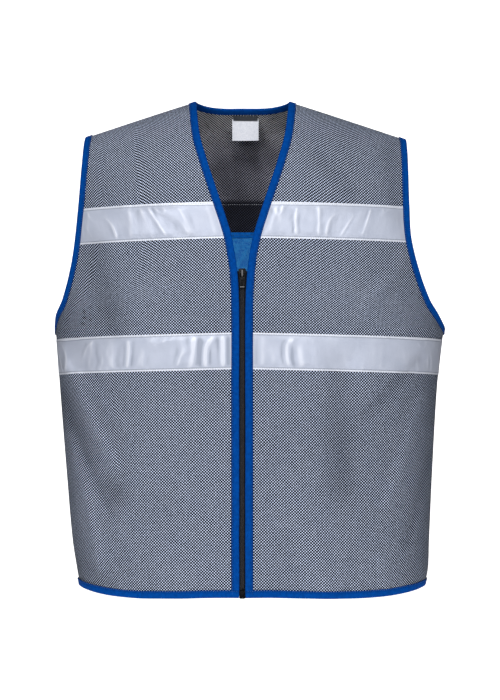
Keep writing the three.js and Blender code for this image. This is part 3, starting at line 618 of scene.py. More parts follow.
class Look:
    """A material whose nodes are added by short calls. An output that is passed as an input is linked."""

    def __init__(self, name, colour=(0.5, 0.5, 0.5), **sockets):
        self.material = bpy.data.materials.new(name)
        self.material.use_nodes = True
        self.tree = self.material.node_tree
        self.shader = self.tree.nodes["Principled BSDF"]
        self.set("Base Color", (*colour, 1))
        for socket, value in sockets.items():
            self.set(socket.replace("_", " ").title().replace("Ior", "IOR"), value)

    def set(self, socket, value):
        self.put(self.shader.inputs[socket], value)

    def put(self, socket, value):
        if isinstance(value, bpy.types.NodeSocket):
            self.tree.links.new(value, socket)
        else:
            socket.default_value = value

    def node(self, kind, inputs=(), output=0, **settings):
        made = self.tree.nodes.new("ShaderNode" + kind)
        for key, value in settings.items():
            setattr(made, key, value)
        for key, value in dict(inputs).items():
            self.put(made.inputs[key], value)
        return made.outputs[output]

    def math(self, operation, a, b=0.0):
        return self.node("Math", {0: a, 1: b}, operation=operation)

    def ramp(self, value, low, high, to_low=0.0, to_high=1.0):
        places = {"Value": value, "From Min": low, "From Max": high, "To Min": to_low, "To Max": to_high}
        return self.node("MapRange", places, interpolation_type="SMOOTHSTEP")

    def mix(self, share, a, b):
        colour = lambda value: value if isinstance(value, bpy.types.NodeSocket) else (*value, 1)
        return self.node("Mix", {0: share, 6: colour(a), 7: colour(b)}, output=2, data_type="RGBA")

    def noise(self, scale, detail=3.0, vector=None, stretch=None):
        vector = vector or self.node("TexCoord", output=3)
        if stretch:
            vector = self.node("Mapping", {"Vector": vector, "Scale": stretch})
        return self.node("TexNoise", {"Vector": vector, "Scale": scale, "Detail": detail})

    def uv(self):
        """The cloth's flat coordinates along its rows and up its columns."""
        flat = self.node("UVMap", uv_map="cloth")
        parts = self.tree.nodes.new("ShaderNodeSeparateXYZ")
        self.put(parts.inputs[0], flat)
        return flat, parts.outputs[0], parts.outputs[1]

    def shade(self, name):
        """A value that the piece's points carry."""
        return self.node("Attribute", attribute_name=name, output=2)

    def ribs(self, value, pitch):
        """Fine ribs, from -1 to 1."""
        return self.math("SINE", self.math("MULTIPLY", value, 2 * pi / pitch))

    def paint(self, share, low, high):
        self.set("Base Color", self.mix(share, low, high))

    def bump(self, height, distance, strength=1.0):
        made = self.node("Bump", {"Height": height, "Distance": distance, "Strength": strength})
        self.set("Normal", made)


def weave(look):
    """Staggered open mesh: 1 on the yarn and -1 in the middle of a hole."""
    _, u, v = look.uv()
    wave = lambda value: look.math("COSINE", look.math("MULTIPLY", value, 2 * pi / WEAVE))
    return look.math("MULTIPLY", wave(u), wave(v))


def mesh_look():
    """Outside of the mesh: light grey yarn over a black ground that shows in the holes; the yarn carries
    painted shade.
    """
    look = Look("mesh_outside", roughness=0.7, specular_ior_level=0.06)
    pattern = weave(look)
    yarn = look.ramp(pattern, 0.22, 0.5)
    tone = look.noise(55.0, 4.0)
    fibre = look.noise(2600.0, 2.0)
    light = look.mix(look.ramp(tone, 0.35, 0.65), (0.67, 0.76, 0.97), (0.73, 0.81, 1.0))
    light = look.mix(look.ramp(fibre, 0.3, 0.7), (0.60, 0.69, 0.92), light)
    # Painted shade: the yarn goes toward black by the cloth's painted shade.
    light = look.mix(look.shade("tone"), (0.0, 0.0, 0.0), light)
    look.paint(yarn, (0.002, 0.003, 0.006), light)
    look.bump(look.math("ADD", yarn, look.math("MULTIPLY", fibre, 0.2)), 0.0003, 0.5)
    return look.material


def inside_look():
    """Inside of the mesh: black ground with small dots of painted light, as if light showed through the
    holes: brightest near the nape, greyer lower down, and painted dark where a tape lies behind it.
    """
    look = Look("mesh_inside", roughness=0.8, specular_ior_level=0.1)
    dots = look.ramp(weave(look), -0.05, 0.35)
    backlight_shade = look.shade("backlight_shade")
    # Painted light through the holes: white near the nape, grey lower down, dark behind a tape.
    shown = look.ramp(backlight_shade, 0.05, 0.4)
    lit = look.mix(shown, (1.0, 1.0, 1.0), (0.38, 0.38, 0.46))
    lit = look.mix(look.ramp(backlight_shade, 0.5, 1.0), lit, (0.05, 0.055, 0.085))
    tone = look.ramp(look.noise(22.0, 3.0), 0.3, 0.7, 0.55, 1.0)
    look.paint(look.math("MULTIPLY", dots, tone), (0.004, 0.004, 0.006), lit)
    look.bump(dots, 0.0004, 0.5)
    return look.material


def binding_look(name, low, high):
    """Blue woven binding with fine cross ribs, darkened by painted shade toward the side that meets the mesh,
    where it rounds over.
    """
    look = Look(name, roughness=0.8, specular_ior_level=0.03)
    _, u, v = look.uv()
    rib = look.ribs(u, BINDING_RIB)
    tone = look.noise(240.0, 4.0)
    light = look.mix(look.ramp(tone, 0.3, 0.7), low, high)
    light = look.mix(look.ramp(rib, -1.0, 1.0, 0.0, 0.3), light, low)
    # Painted shade: darker toward the mesh-side edge, where the binding rounds over.
    edge_shade = look.ramp(v, 0.5 * BINDING_WIDTH, BINDING_WIDTH, 1.0, 0.6)
    look.paint(edge_shade, (0.0, 0.0, 0.01), light)
    grain = look.math("ADD", look.math("MULTIPLY", rib, 0.4), look.noise(1800.0, 2.0))
    look.bump(grain, 0.00012, 0.6)
    return look.material


def silver_look():
    """Satin silver tape with creases too fine for the mesh, and painted highlight and shade on its creases,
    rim and stitch line.
    """
    look = Look("silver_tape", metallic=0.1, roughness=0.4, specular_ior_level=0.2)
    flat, _, v = look.uv()
    crease = look.noise(90.0, 5.0, flat, (1.0, 0.3, 1.0))
    tone = look.noise(30.0, 4.0, flat)
    light = look.mix(look.ramp(tone, 0.3, 0.7), (0.42, 0.455, 0.555), (0.475, 0.51, 0.61))
    # Painted highlight on the crests of the creases.
    light = look.mix(look.ramp(look.shade("crest"), -0.02, 0.45), light, (0.63, 0.66, 0.75))
    # Painted shade in the hollows of the creases.
    light = look.mix(look.ramp(look.shade("crest"), -0.45, -0.02), (0.30, 0.33, 0.41), light)
    inward = look.math("MINIMUM", v, look.math("SUBTRACT", TAPE_WIDTH, v))
    off_line = look.math("ABSOLUTE", look.math("SUBTRACT", inward, TAPE_SEAM))
    # Painted highlight on the puckered rim outside the stitch line.
    light = look.mix(look.ramp(inward, TAPE_SEAM * 0.6, TAPE_SEAM), (0.66, 0.69, 0.78), light)
    # Painted shade along the stitch line, for the groove that the stitches pull in.
    light = look.mix(look.ramp(off_line, 0.0003, 0.0009), (0.3, 0.33, 0.4), light)
    # Painted shade: the tape darkens by the cloth's painted shade.
    look.paint(look.ramp(look.shade("tone"), 0.5, 1.0, 0.6, 1.0), (0.1, 0.1, 0.12), light)
    grid = look.math("MULTIPLY", look.noise(3000.0, 1.0), 0.1)
    look.bump(look.math("ADD", crease, grid), 0.0011, 0.5)
    return look.material


def liner_look():
    """Mottled blue cooling fabric with short soft fibres."""
    look = Look("blue_liner", roughness=0.9, specular_ior_level=0.1, sheen_weight=0.1, sheen_roughness=0.5)
    mottle = look.noise(190.0, 5.0)
    fibre = look.noise(1500.0, 3.0)
    colour = look.mix(look.ramp(mottle, 0.35, 0.65), (0.0, 0.1, 0.6), (0.015, 0.27, 0.77))
    look.paint(look.ramp(fibre, 0.35, 0.65), colour, (0.065, 0.34, 0.77))
    look.bump(look.math("ADD", mottle, fibre), 0.0006, 0.6)
    return look.material


def tag_look(name, low, high):
    """Satin woven label with fine threads."""
    look = Look(name, roughness=0.6, specular_ior_level=0.15)
    _, _, v = look.uv()
    threads = look.ribs(v, TAG_RIB)
    tone = look.math("ADD", look.math("MULTIPLY", threads, 0.12), look.noise(500.0, 3.0))
    look.paint(look.ramp(tone, 0.3, 0.7), low, high)
    look.bump(tone, 0.0001, 0.5)
    return look.material


def zip_cloth_look():
    """Black woven zip tape with lengthwise ribs."""
    look = Look("zip_cloth", roughness=0.8, specular_ior_level=0.1)
    _, u, _ = look.uv()
    rib = look.ribs(u, ZIP_RIB)
    look.paint(look.ramp(rib, -1.0, 1.0), (0.004, 0.005, 0.007), (0.016, 0.018, 0.024))
    look.bump(look.math("ADD", rib, look.noise(2500.0, 2.0)), 0.0002, 0.6)
    return look.material


def coil_look():
    """Black nylon of the teeth."""
    look = Look("zip_nylon", roughness=0.45, specular_ior_level=0.25)
    look.paint(look.noise(400.0, 2.0), (0.004, 0.005, 0.007), (0.015, 0.016, 0.022))
    return look.material


def metal_look(name, low, high):
    """Black lacquered metal, worn a little lighter in places; a light grey copy stands for painted highlight.
    """
    look = Look(name, specular_ior_level=0.07)
    wear = look.ramp(look.noise(900.0, 4.0), 0.58, 0.72)
    look.paint(wear, low, high)
    look.set("Roughness", look.ramp(look.noise(700.0, 3.0), 0.3, 0.7, 0.28, 0.42))
    return look.material


def thread_look(name, low, high):
    """Twisted sewing thread."""
    look = Look(name, roughness=0.6)
    look.paint(look.noise(1500.0, 2.0), low, high)
    look.bump(look.noise(4000.0, 1.0), 0.0001, 0.5)
    return look.material


MESH = mesh_look()
INSIDE = inside_look()
BINDING = binding_look("blue_binding", (0.0, 0.041, 0.215), (0.0, 0.056, 0.29))
EDGE = binding_look("liner_edge_blue", (0.004, 0.13, 0.55), (0.01, 0.2, 0.75))
SILVER = silver_look()
LINER = liner_look()
WHITE_TAG = tag_look("white_label", (0.58, 0.6, 0.66), (0.7, 0.71, 0.76))
BLACK_TAG = tag_look("black_label", (0.012, 0.014, 0.018), (0.03, 0.034, 0.042))
ZIP_CLOTH = zip_cloth_look()
COIL = coil_look()
METAL = metal_look("zip_metal", (0.002, 0.002, 0.003), (0.012, 0.012, 0.013))
# A light grey copy of the black metal: painted highlight on the bail and on the pull's foot.
HIGHLIGHT_METAL = metal_look("painted_highlight_metal", (0.13, 0.13, 0.135), (0.24, 0.235, 0.23))
BLUE_THREAD = thread_look("blue_thread", (0.0, 0.04, 0.2), (0.01, 0.1, 0.4))
GREY_THREAD = thread_look("grey_thread", (0.35, 0.37, 0.42), (0.6, 0.62, 0.68))
BLACK_THREAD = thread_look("black_thread", (0.008, 0.008, 0.01), (0.03, 0.03, 0.035))


def finish_piece(piece, slot, *nodes, body="vest"):
    """Lets a piece ride on its body and stand for the solids it replaces. Its slot is not used."""
    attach(piece, body)
    if nodes:
        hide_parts(*nodes)


FRONT_ARC = 0.33
BACK_ARC = 0.66
# Painted shade: how dark the cloth is painted at its sides, and how much a fold's height darkens or lightens
# it.
SIDE_SHADE = 0.48
FOLD_SHADE = 0.16


def painted_cloth_shade(face, points):
    """Painted shade on the cloth and its tapes: darker toward the sides and in the valleys of the folds,
    lighter on the folds' ridges and on the shoulders, where light falls.
    """
    x, z = points[..., 0], points[..., 2]
    inside = np.cos(angle_at(x, z))
    fold_shade = FOLD_SHADE * fold_height(face, x, z) / (0.4 * FOLD_DEPTH)
    side = lerp(SIDE_SHADE, 1, smooth(inside))
    lit_shoulder = 0.6 * smooth((z - ARMPIT_Z) / ARMPIT_DROP)
    return lerp(side, 1, lit_shoulder) * np.clip(1 + fold_shade, 0.7, 1.2)


def panel(name, node, face, points, rows, backlight_shade, seams, top, start):
    """A mesh panel on a grid of cloth points. On its seams the way out lies in the seam's plane."""
    normals = grid_normals(points, face.out)
    normals[: np.sum(rows[1] <= ARMPIT_Z), seams, 1] = 0
    normals[-1, top, 1] = 0
    # Painted shade for the looks: the first sets the inside's light dots, the second the yarn's shade.
    shades = {"backlight_shade": backlight_shade[:, None], "tone": painted_cloth_shade(face, points)}
    looks = [MESH, INSIDE]
    piece = wall(name, points, unit(normals), -CLOTH / 2, CLOTH / 2, looks, chart(points, start), **shades)
    finish_piece(piece, "mesh_cloth", node)


def front_panel(sign):
    rows, backlight_shade = rows_of(FRONT, sign, CLOTH_CELL)
    points = front_points(sign, rows, even_shares(FRONT_ARC, CLOTH_CELL))
    side, start = SIDE_NAME[sign], np.abs(points[:, 0, 0])
    whole = slice(None)
    panel(f"mesh_front_{side}", f"front_panel_{side}", FRONT, points, rows, backlight_shade, [-1], whole, start)


def back_panel():
    right, backlight_shade = rows_of(BACK, RIGHT, CLOTH_CELL)
    left, _ = rows_of(BACK, LEFT, CLOTH_CELL)
    points = back_points(right, left, even_shares(BACK_ARC, CLOTH_CELL))
    shoulders = np.abs(points[-1, :, 1]) < SEAM_GAP
    start = -chart(points)[:, points.shape[1] // 2, 0]
    panel("mesh_back", "back_panel", BACK, points, right, backlight_shade, [0, -1], shoulders, start)


CREASE_DEPTH = 0.0013
PUCKER_DEPTH = 0.0003
TAPE_FLAT_END = 0.01
CREST_STEP = 4
FRONT_END = 0.008
BACK_END = 0.004


def crinkle(u, v, seed):
    """Height of a tape's creases. They run from edge to edge, lean here and there, and die out in places."""
    lean = u + 0.6 * v * noise(u, 0 * v, 0.05, seed)
    ridge = (1 - np.abs(noise(lean, v * 0.3, 0.014, seed + 1))) ** 2
    swell = noise(lean, v * 0.4, 0.02, seed + 2)
    busy = smooth(0.6 + 0.8 * noise(u, v * 0.5, 0.035, seed + 3))
    hold = np.clip((np.minimum(v, TAPE_WIDTH - v) - TAPE_SEAM) / 0.006, 0, 1)
    pucker = (noise(u, v, 0.004, seed + 4) + 1) * (1 - hold) + (noise(u, v * 0.5, 0.006, seed + 5) + 1) * busy
    return CREASE_DEPTH * hold * np.maximum(busy * ridge + 0.45 * (swell + 1), 0) + PUCKER_DEPTH * pucker / 2


TAPE_PATHS = []


def tape(name, face, points, seed, node):
    """A silver tape on a grid of cloth points, with the creases on its outer layer."""
    normals = grid_normals(points, face.out)
    uvs = chart(points)
    ends = np.minimum(uvs[..., 0], uvs[:, -1:, 0] - uvs[..., 0])
    height = crinkle(uvs[..., 0], uvs[..., 1], seed) * smooth((ends - BINDING_WIDTH) / TAPE_FLAT_END)
    lifted = points + normals * height[..., None]
    top = TAPE_LIFT + TAPE_THICKNESS
    crest = height - (np.roll(height, CREST_STEP, 1) + np.roll(height, -CREST_STEP, 1)) / 2
    # The crests set the tape's painted highlight and painted shade on its creases; tone is the cloth's
    # painted shade.
    shades = {"crest": crest / CREASE_DEPTH, "tone": painted_cloth_shade(face, points)}
    piece = wall(name, lifted, normals, TAPE_LIFT, top, [SILVER], uvs, **shades)
    for row in (1, -2):
        TAPE_PATHS.append((lifted[row] + normals[row] * top, normals[row]))
        TAPE_PATHS.append((points[row] - normals[row] * CLOTH / 2, -normals[row]))
    finish_piece(piece, "silver_tape", node)


def tapes():
    shares = even_shares(TAPE_WIDTH, TAPE_ROW)
    for i, (band, part) in enumerate([(WAIST_TAPE, "waist"), (CHEST_TAPE, "chest")]):
        across = lerp(FRONT_END, 1 - FRONT_END, even_shares(FRONT_ARC, TAPE_CELL))
        for sign in (RIGHT, LEFT):
            points = front_points(sign, levels(FRONT, sign, band, shares), across)
            side = SIDE_NAME[sign]
            seed = 40 + 20 * i + 6 * (sign + 1)
            tape(f"silver_{part}_{side}", FRONT, points, seed, f"{part}_tape_front_{side}")
        across = lerp(BACK_END, 1 - BACK_END, even_shares(BACK_ARC, TAPE_CELL))
        right, left = (levels(BACK, sign, band, shares) for sign in (RIGHT, LEFT))
        points = back_points(right, left, across)
        tape(f"silver_{part}_back", BACK, points, 90 + 20 * i, f"{part}_tape_back")
    finish_piece(stitches("tape_stitches", TAPE_PATHS, GREY_THREAD), "silver_tape")


# Corners (inset, lift) of the folded binding's section. inset is the share of the width in from the edge, and
# lift the share of the outer thickness.
BINDING_SHELL = [
    (1.0, 0.6), (0.985, 0.9), (0.93, 1.0), (0.5, 0.97), (0.14, 1.0), (0.02, 0.86), (-0.06, 0.45),
    (-0.08, 0.0), (-0.06, -0.45), (0.02, -0.86), (0.14, -1.0), (0.5, -0.97), (0.93, -1.0), (0.985, -0.9),
    (1.0, -0.6), (0.2, -0.5), (0.05, 0.0), (0.2, 0.5),
]
STITCH_AT = (2, 12)
BINDING_WANDER = 0.00025
BINDING_SWELL = 0.1
BINDING_PATHS = []


def binding(name, edge, normals, inward, closed, seed, node, grow=1.0):
    """A folded strip over an edge, with the stitch line along both its inner lines."""
    along = (np.roll(edge, -1, 0) - np.roll(edge, 1, 0)) / 2 if closed else np.gradient(edge, axis=0)
    for _ in range(4):
        before, after = np.roll(normals, 1, 0), np.roll(normals, -1, 0)
        if not closed:
            before[0], after[-1] = normals[0], normals[-1]
        normals = unit(before + 2 * normals + after)
    tangent = unit(along)
    normals = unit(normals - tangent * np.sum(normals * tangent, -1, keepdims=True))
    across = inward * np.cross(tangent, normals)
    length = run_length(edge)
    wander = BINDING_WANDER * noise(length, 0 * length, 0.03, seed)
    swell = 1 + BINDING_SWELL * noise(length, 0 * length, 0.012, seed + 1)
    inset, lift = np.array(BINDING_SHELL).T
    away = (BINDING_WIDTH * inset + wander[:, None])[..., None]
    rise = (BINDING_OUTER * grow * lift * swell[:, None])[..., None]
    rings = edge[:, None] + across[:, None] * away + normals[:, None] * rise
    uvs = np.stack(np.broadcast_arrays(length[:, None], BINDING_WIDTH * inset), -1).reshape(-1, 2)
    faces = tube_faces(*rings.shape[:2], closed)
    if inward > 0:
        faces = [face[::-1] for face in faces]
    piece = mesh_object(name, rings.reshape(-1, 3), faces, [BINDING], uvs, sharp=BINDING_CORNER)
    for at, sign in zip(STITCH_AT, (1, -1)):
        path, ways = lerp(rings[:, at], rings[:, at + sign], 0.12), sign * normals
        if closed:
            path, ways = (np.concatenate([part, part[:1]]) for part in (path, ways))
        BINDING_PATHS.append((path, ways))
    finish_piece(piece, "blue_binding", node)


NORMAL_STEP = 1e-5


def edge_normals(face, angle, z):
    """The way out of the cloth at places on its edges."""
    here = cloth_point(face, angle, z)
    turn = np.where(angle < 0, NORMAL_STEP, -NORMAL_STEP)
    across = (cloth_point(face, angle + turn, z) - here) / turn[:, None]
    down = cloth_point(face, angle, z - NORMAL_STEP) - here
    normals = unit(np.cross(across, down)) * face.out
    slope = (shoulder_z(here[:, 0] + NORMAL_STEP) - shoulder_z(here[:, 0])) / NORMAL_STEP
    seam = unit(np.stack([-slope, 0 * slope, 1 + 0 * slope], -1))
    on_seam = (shoulder_z(here[:, 0]) - z < NORMAL_STEP)[:, None]
    return np.where(on_seam, seam, normals)


def edge_run(face, angle, z):
    angle, z = np.broadcast_arrays(np.asarray(angle, float), np.asarray(z, float))
    return cloth_point(face, angle, z), edge_normals(face, angle, z)


def joined_run(runs, closed=False):
    """Several runs end to end, at even steps."""
    points, normals = (np.concatenate(part) for part in zip(*runs))
    keep = np.concatenate([[True], np.linalg.norm(np.diff(points, axis=0), axis=1) > TRIM_CELL / 10])
    points, normals = points[keep], normals[keep]
    if closed:
        points, normals = (np.concatenate([part, part[:1]]) for part in (points, normals))
    points, normals = resample(points, normals, TRIM_CELL)
    return (points[:-1], normals[:-1]) if closed else (points, normals)


FINE = 400
NECK_FOOT = 0.002


def vee_run(sign):
    z = np.linspace(HEM_Z + NECK_FOOT, 0, FINE)
    return edge_run(FRONT, angle_at(sign * vee_half(z), z), z)


def reverse(run):
    return tuple(part[::-1] for part in run)


def neck_binding():
    turn = np.linspace(-pi / 2, pi / 2, FINE // 2)
    nape = edge_run(BACK, *nape_place(NECK_HALF * np.sin(turn), SEAM_GAP / 2 + NECK_BACK * np.cos(turn)))
    edge, normals = joined_run([vee_run(RIGHT), nape, reverse(vee_run(LEFT))])
    binding("edge_front_neck", edge, normals, -1, False, 130, "front_neck_binding")


def armhole_binding(sign):
    tip = float(shoulder_z(SHOULDER[sign]))
    z = lerp(ARMPIT_Z, tip, np.linspace(0, 1, FINE) ** 2)
    runs = [edge_run(face, sign * edge_angle(sign, z), z) for face in (FRONT, BACK)]
    edge, normals = joined_run([runs[0], reverse(runs[1])], closed=True)
    side = SIDE_NAME[sign]
    binding(f"edge_armhole_{side}", edge, normals, -sign, True, 140 + sign, f"armhole_binding_{side}")


def hem_binding():
    end = float(angle_at(ZIP_HALF_GAP, HEM_Z))
    turns = [
        (FRONT, np.linspace(-end, -pi / 2, FINE)),
        (BACK, np.linspace(-pi / 2, pi / 2, FINE)),
        (FRONT, np.linspace(pi / 2, end, FINE)),
    ]
    runs = [edge_run(face, angle, HEM_Z + hem_rise(angle, HEM_Z)) for face, angle in turns]
    edge, normals = joined_run(runs)
    binding("edge_hem", edge, normals, 1, False, 150, "hem_binding", grow=1.12)


def bindings():
    neck_binding()
    armhole_binding(RIGHT)
    armhole_binding(LEFT)
    hem_binding()
    finish_piece(stitches("binding_stitches", BINDING_PATHS, BLUE_THREAD), "blue_binding")


LINER_END = 0.01
EDGE_ROWS = 7
EDGE_START = -0.02
EDGE_BULGE = 0.0008
EDGE_THICKNESS = 0.0018
EDGE_STITCH_RISE = 0.0009


def liner():
    """Cooling liner behind the back, up to the back tape's lower part, with its bound top edge."""
    bands = (SKIRT, WAIST_TAPE, FLANK, SIDE)
    top = np.array([LINER_EDGE_WIDTH / TAPE_WIDTH])
    sides = []
    for sign in (RIGHT, LEFT):
        rows, _ = rows_of(BACK, sign, LINER_CELL, bands)
        sides.append(np.concatenate([rows, levels(BACK, sign, CHEST_TAPE, top)], axis=1))
    across = lerp(LINER_END, 1 - LINER_END, even_shares(BACK_ARC, LINER_CELL))
    points = back_points(*sides, across)
    normals = grid_normals(points, BACK.out)
    uvs = chart(points)
    puff = LINER_PUFF * (noise(uvs[..., 0], uvs[..., 1], 0.02, 160) + 1)
    lifted = points - normals * puff[..., None]
    rear = -LINER_FRONT - LINER_THICKNESS
    piece = wall("cooling_cloth", lifted, normals, rear, -LINER_FRONT, [LINER], uvs)
    finish_piece(piece, "blue_liner", "cooling_liner")

    shares = np.linspace(EDGE_START, LINER_EDGE_WIDTH / TAPE_WIDTH, EDGE_ROWS)
    strip = back_points(*(levels(BACK, sign, CHEST_TAPE, shares) for sign in (RIGHT, LEFT)), across)
    ways = grid_normals(strip, BACK.out)
    bulge = EDGE_BULGE * np.sin(pi * np.linspace(0, 1, EDGE_ROWS))[:, None, None]
    low = rear - EDGE_THICKNESS
    edge = wall("liner_edge", strip - ways * bulge, ways, low, -LINER_FRONT, [EDGE], chart(strip))
    finish_piece(edge, "blue_binding", "liner_binding")
    middle = EDGE_ROWS // 2
    path = strip[middle] + ways[middle] * (low - EDGE_STITCH_RISE)
    finish_piece(stitches("liner_stitches", [(path, -ways[middle])], BLACK_THREAD), "blue_binding")


TAG_HALF = 0.0003


def tag(name, node, look, slot, drop_curl, seed):
    """A label that hangs inside the neck: gently bowed, with a soft lower corner."""
    low, high = (np.array(corner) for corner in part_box(node))
    rows, columns = 13, 17
    across = np.linspace(-1, 1, columns)[None, :]
    down = np.linspace(1, 0, rows)[:, None]
    x = lerp(low[0], high[0], (across + 1) / 2) + 0 * down
    z = lerp(low[2], high[2], 1 - down) + 0 * across
    bow = (high[1] - low[1]) * (1 - across**2) * 0.8
    curl = drop_curl * down**2 * (1 + 0.6 * across)
    y = low[1] + bow - curl + 0.0003 * noise(x, z, 0.012, seed)
    points = np.stack([x, y, z], -1)
    normals = grid_normals(points, 1)
    piece = wall(name, points, normals, -TAG_HALF, TAG_HALF, [look], chart(points))
    finish_piece(piece, slot, node)


def labels():
    tag("label_strip", "size_label", BLACK_TAG, "black_label", 0.0005, 171)
    tag("label_card", "care_label", WHITE_TAG, "white_label", 0.002, 172)


ZIP_FOOT = {RIGHT: -0.0015, LEFT: 0.0012}
ZIP_SLIT = 0.00015
ZIP_TUCK = 0.003
COIL_FOOT = 0.001
COIL_TUCK = 0.002


def zip_cloth(sign):
    xs = np.linspace(ZIP_SLIT, ZIP_TAPE_WIDTH, 15)[None, :] * sign
    z = np.linspace(HEM_Z - ZIP_FOOT[sign], -ZIP_TOP_DROP - ZIP_TUCK, 200)[:, None]
    points = cloth_point(FRONT, angle_at(xs, z), z)
    normals = grid_normals(points, FRONT.out)
    uvs = np.stack([np.abs(xs) + 0 * z, z + 0 * xs], -1)
    side, rear = SIDE_NAME[sign], ZIP_BACK - ZIP_TAPE_THICKNESS
    piece = wall(f"zip_web_{side}", points, normals, rear, ZIP_BACK, [ZIP_CLOTH], uvs)
    finish_piece(piece, "zip_cloth", f"zip_tape_{side}")


def coil():
    z = np.arange(HEM_Z + BINDING_WIDTH + COIL_FOOT, -ZIP_TOP_DROP - COIL_TUCK, TOOTH_PITCH)
    starts, ends = [], []
    for sign, shift in ((RIGHT, 0), (LEFT, TOOTH_PITCH / 2)):
        middle = cloth_point(FRONT, 0 * z, z + shift)
        middle[:, 1] -= (ZIP_BACK + COIL_FRONT) / 2 + TOOTH_RADIUS
        reach = np.array([sign * COIL_HALF, 0, 0])
        starts.append(middle - reach * TOOTH_CROSS)
        ends.append(middle + reach)
    start, end = np.concatenate(starts), np.concatenate(ends)
    up = np.broadcast_to([0.0, -1.0, 0.0], start.shape)
    finish_piece(capsules("zip_teeth", start, end, up, TOOTH_RADIUS, 8, TOOTH, COIL), "zip_coil", "zip_coil")


# Slider, bail and pull, in a frame whose origin is on the cloth at the slider's head, with -Y to the front
SLIDER_WIDTH = 0.0106
SLIDER_HEIGHT = 0.013
SLIDER_FACE = -0.0015
SLIDER_REAR = (0.0036, 0.0051)
SLIDER_TAPER = 0.14
BAIL_WIDTH = 0.002
BAIL_THICKNESS = 0.0012
BAIL_LENGTH = 0.009
BAIL_HOLLOW = 0.0022
BAIL_BEND = 0.0012
PULL_RADIUS = 0.0007
PULL_WIDTH = 0.0086
PULL_LENGTH = 0.021
PULL_ARM = 0.0015
WINDOW_FOOT = -0.0055
PULL_Z = -SLIDER_HEIGHT / 2
PULL_Y = SLIDER_FACE - BAIL_HOLLOW / 2
CORNER_STEPS = 6
LEAST_CORNER = 0.0001
WINDOW_CORNER = 0.0004
SLIDER_CORNER = 0.002
SLIDER_EDGE = 0.0005
PULL_CORNER = 0.0016
PULL_EDGE = 0.0004
RIB_HALF = 0.0004
RIB_RISE = 0.0006


def rounded(half_width, low, high, radius, y, taper=0.0):
    """A loop of points round a plate with rounded corners. taper narrows its lower end."""
    loop = []
    for quarter, (side, up) in enumerate([(1, 1), (-1, 1), (-1, -1), (1, -1)]):
        angle = np.linspace(0, pi / 2, CORNER_STEPS) + quarter * pi / 2
        x = side * (half_width - radius) + radius * np.cos(angle)
        z = (high - radius if up > 0 else low + radius) + radius * np.sin(angle)
        loop.append(np.stack([x, 0 * angle + y, z], -1))
    loop = np.concatenate(loop)
    loop[:, 0] *= 1 - taper * (high - loop[:, 2]) / (high - low)
    return loop


def rim(edge, y, way):
    """Insets and places of the three loops that round off an edge, from the plate's face inward."""
    return [(edge * inset, y + way * edge * depth) for inset, depth in ((1.0, 0.0), (0.3, 0.3), (0.0, 1.0))]


def plate(half_width, low, high, radius, front, rear, edge, taper=0.0):
    """Loops of a plate whose front and rear edges are rounded off."""
    return [
        rounded(half_width - inset, low + inset, high - inset, max(radius - inset, LEAST_CORNER), y, taper)
        for inset, y in rim(edge, front, 1) + rim(edge, rear, -1)[::-1]
    ]


def window_plate(half_width, low, high, radius, window_low, window_high, arm, front, rear, edge):
    """Loops round the section of a plate with a window, so that the last one joins the first."""
    loops = plate(half_width, low, high, radius, front, rear, edge)
    for inset, y in rim(edge, rear, -1) + rim(edge, front, 1)[::-1]:
        half = half_width - arm + inset
        loops.append(rounded(half, window_low - inset, window_high + inset, WINDOW_CORNER + inset, y))
    return loops


def swept_bar(path, half_width, half_depth):
    """Loops of a bar with softened corners along a path in the plane x = 0."""
    way = unit(np.gradient(path, axis=0))
    over = np.stack([0 * way[:, 0], way[:, 2], -way[:, 1]], -1) * half_depth
    corners = [(0.6, 1), (1, 0.5), (1, -0.5), (0.6, -1), (-0.6, -1), (-1, -0.5), (-1, 0.5), (-0.6, 1)]
    side = np.array([half_width, 0, 0])
    return [np.array([at + side * a + up * b for a, b in corners]) for at, up in zip(path, over)]


def loft(parts, ringed, highlighted):
    """Points, faces and looks of several lists of loops in one mesh.

    The parts numbered in ringed close on themselves, and those numbered in the third list take the second
    look: a light grey that is a painted highlight.
    """
    points, faces, ids = [], [], []
    count = 0
    for number, loops in enumerate(parts):
        size = len(loops[0])
        made = tube_faces(len(loops), size, number in ringed)
        faces += [[count + index for index in face] for face in made]
        ids += [int(number in highlighted)] * len(made)
        points += loops
        count += len(loops) * size
    return np.concatenate(points), faces, ids


def zip_lean():
    """Place of the slider's head on the cloth and the angle that it leans by."""
    heights = np.array([-ZIP_TOP_DROP, -ZIP_TOP_DROP - SLIDER_HEIGHT])
    head, heel = cloth_point(FRONT, 0 * heights, heights)
    return head, np.arctan2(heel[1] - head[1], head[2] - heel[2])


def on_slider(points):
    """Points of the slider's own frame, set in place."""
    head, lean = zip_lean()
    x, y, z = points.T
    turned = [x, y * np.cos(lean) - z * np.sin(lean), y * np.sin(lean) + z * np.cos(lean)]
    return np.stack(turned, -1) + head


def metal_piece(name, node, parts, ringed=(), highlighted=(), body="vest", place=on_slider):
    points, faces, ids = loft(parts, ringed, highlighted)
    made = mesh_object(name, place(points), faces, [METAL, HIGHLIGHT_METAL], look_ids=ids, sharp=METAL_CORNER)
    work = bmesh.new()
    work.from_mesh(made.data)
    bmesh.ops.recalc_face_normals(work, faces=work.faces)
    work.to_mesh(made.data)
    work.free()
    finish_piece(made, "zip_metal", node, body=body)


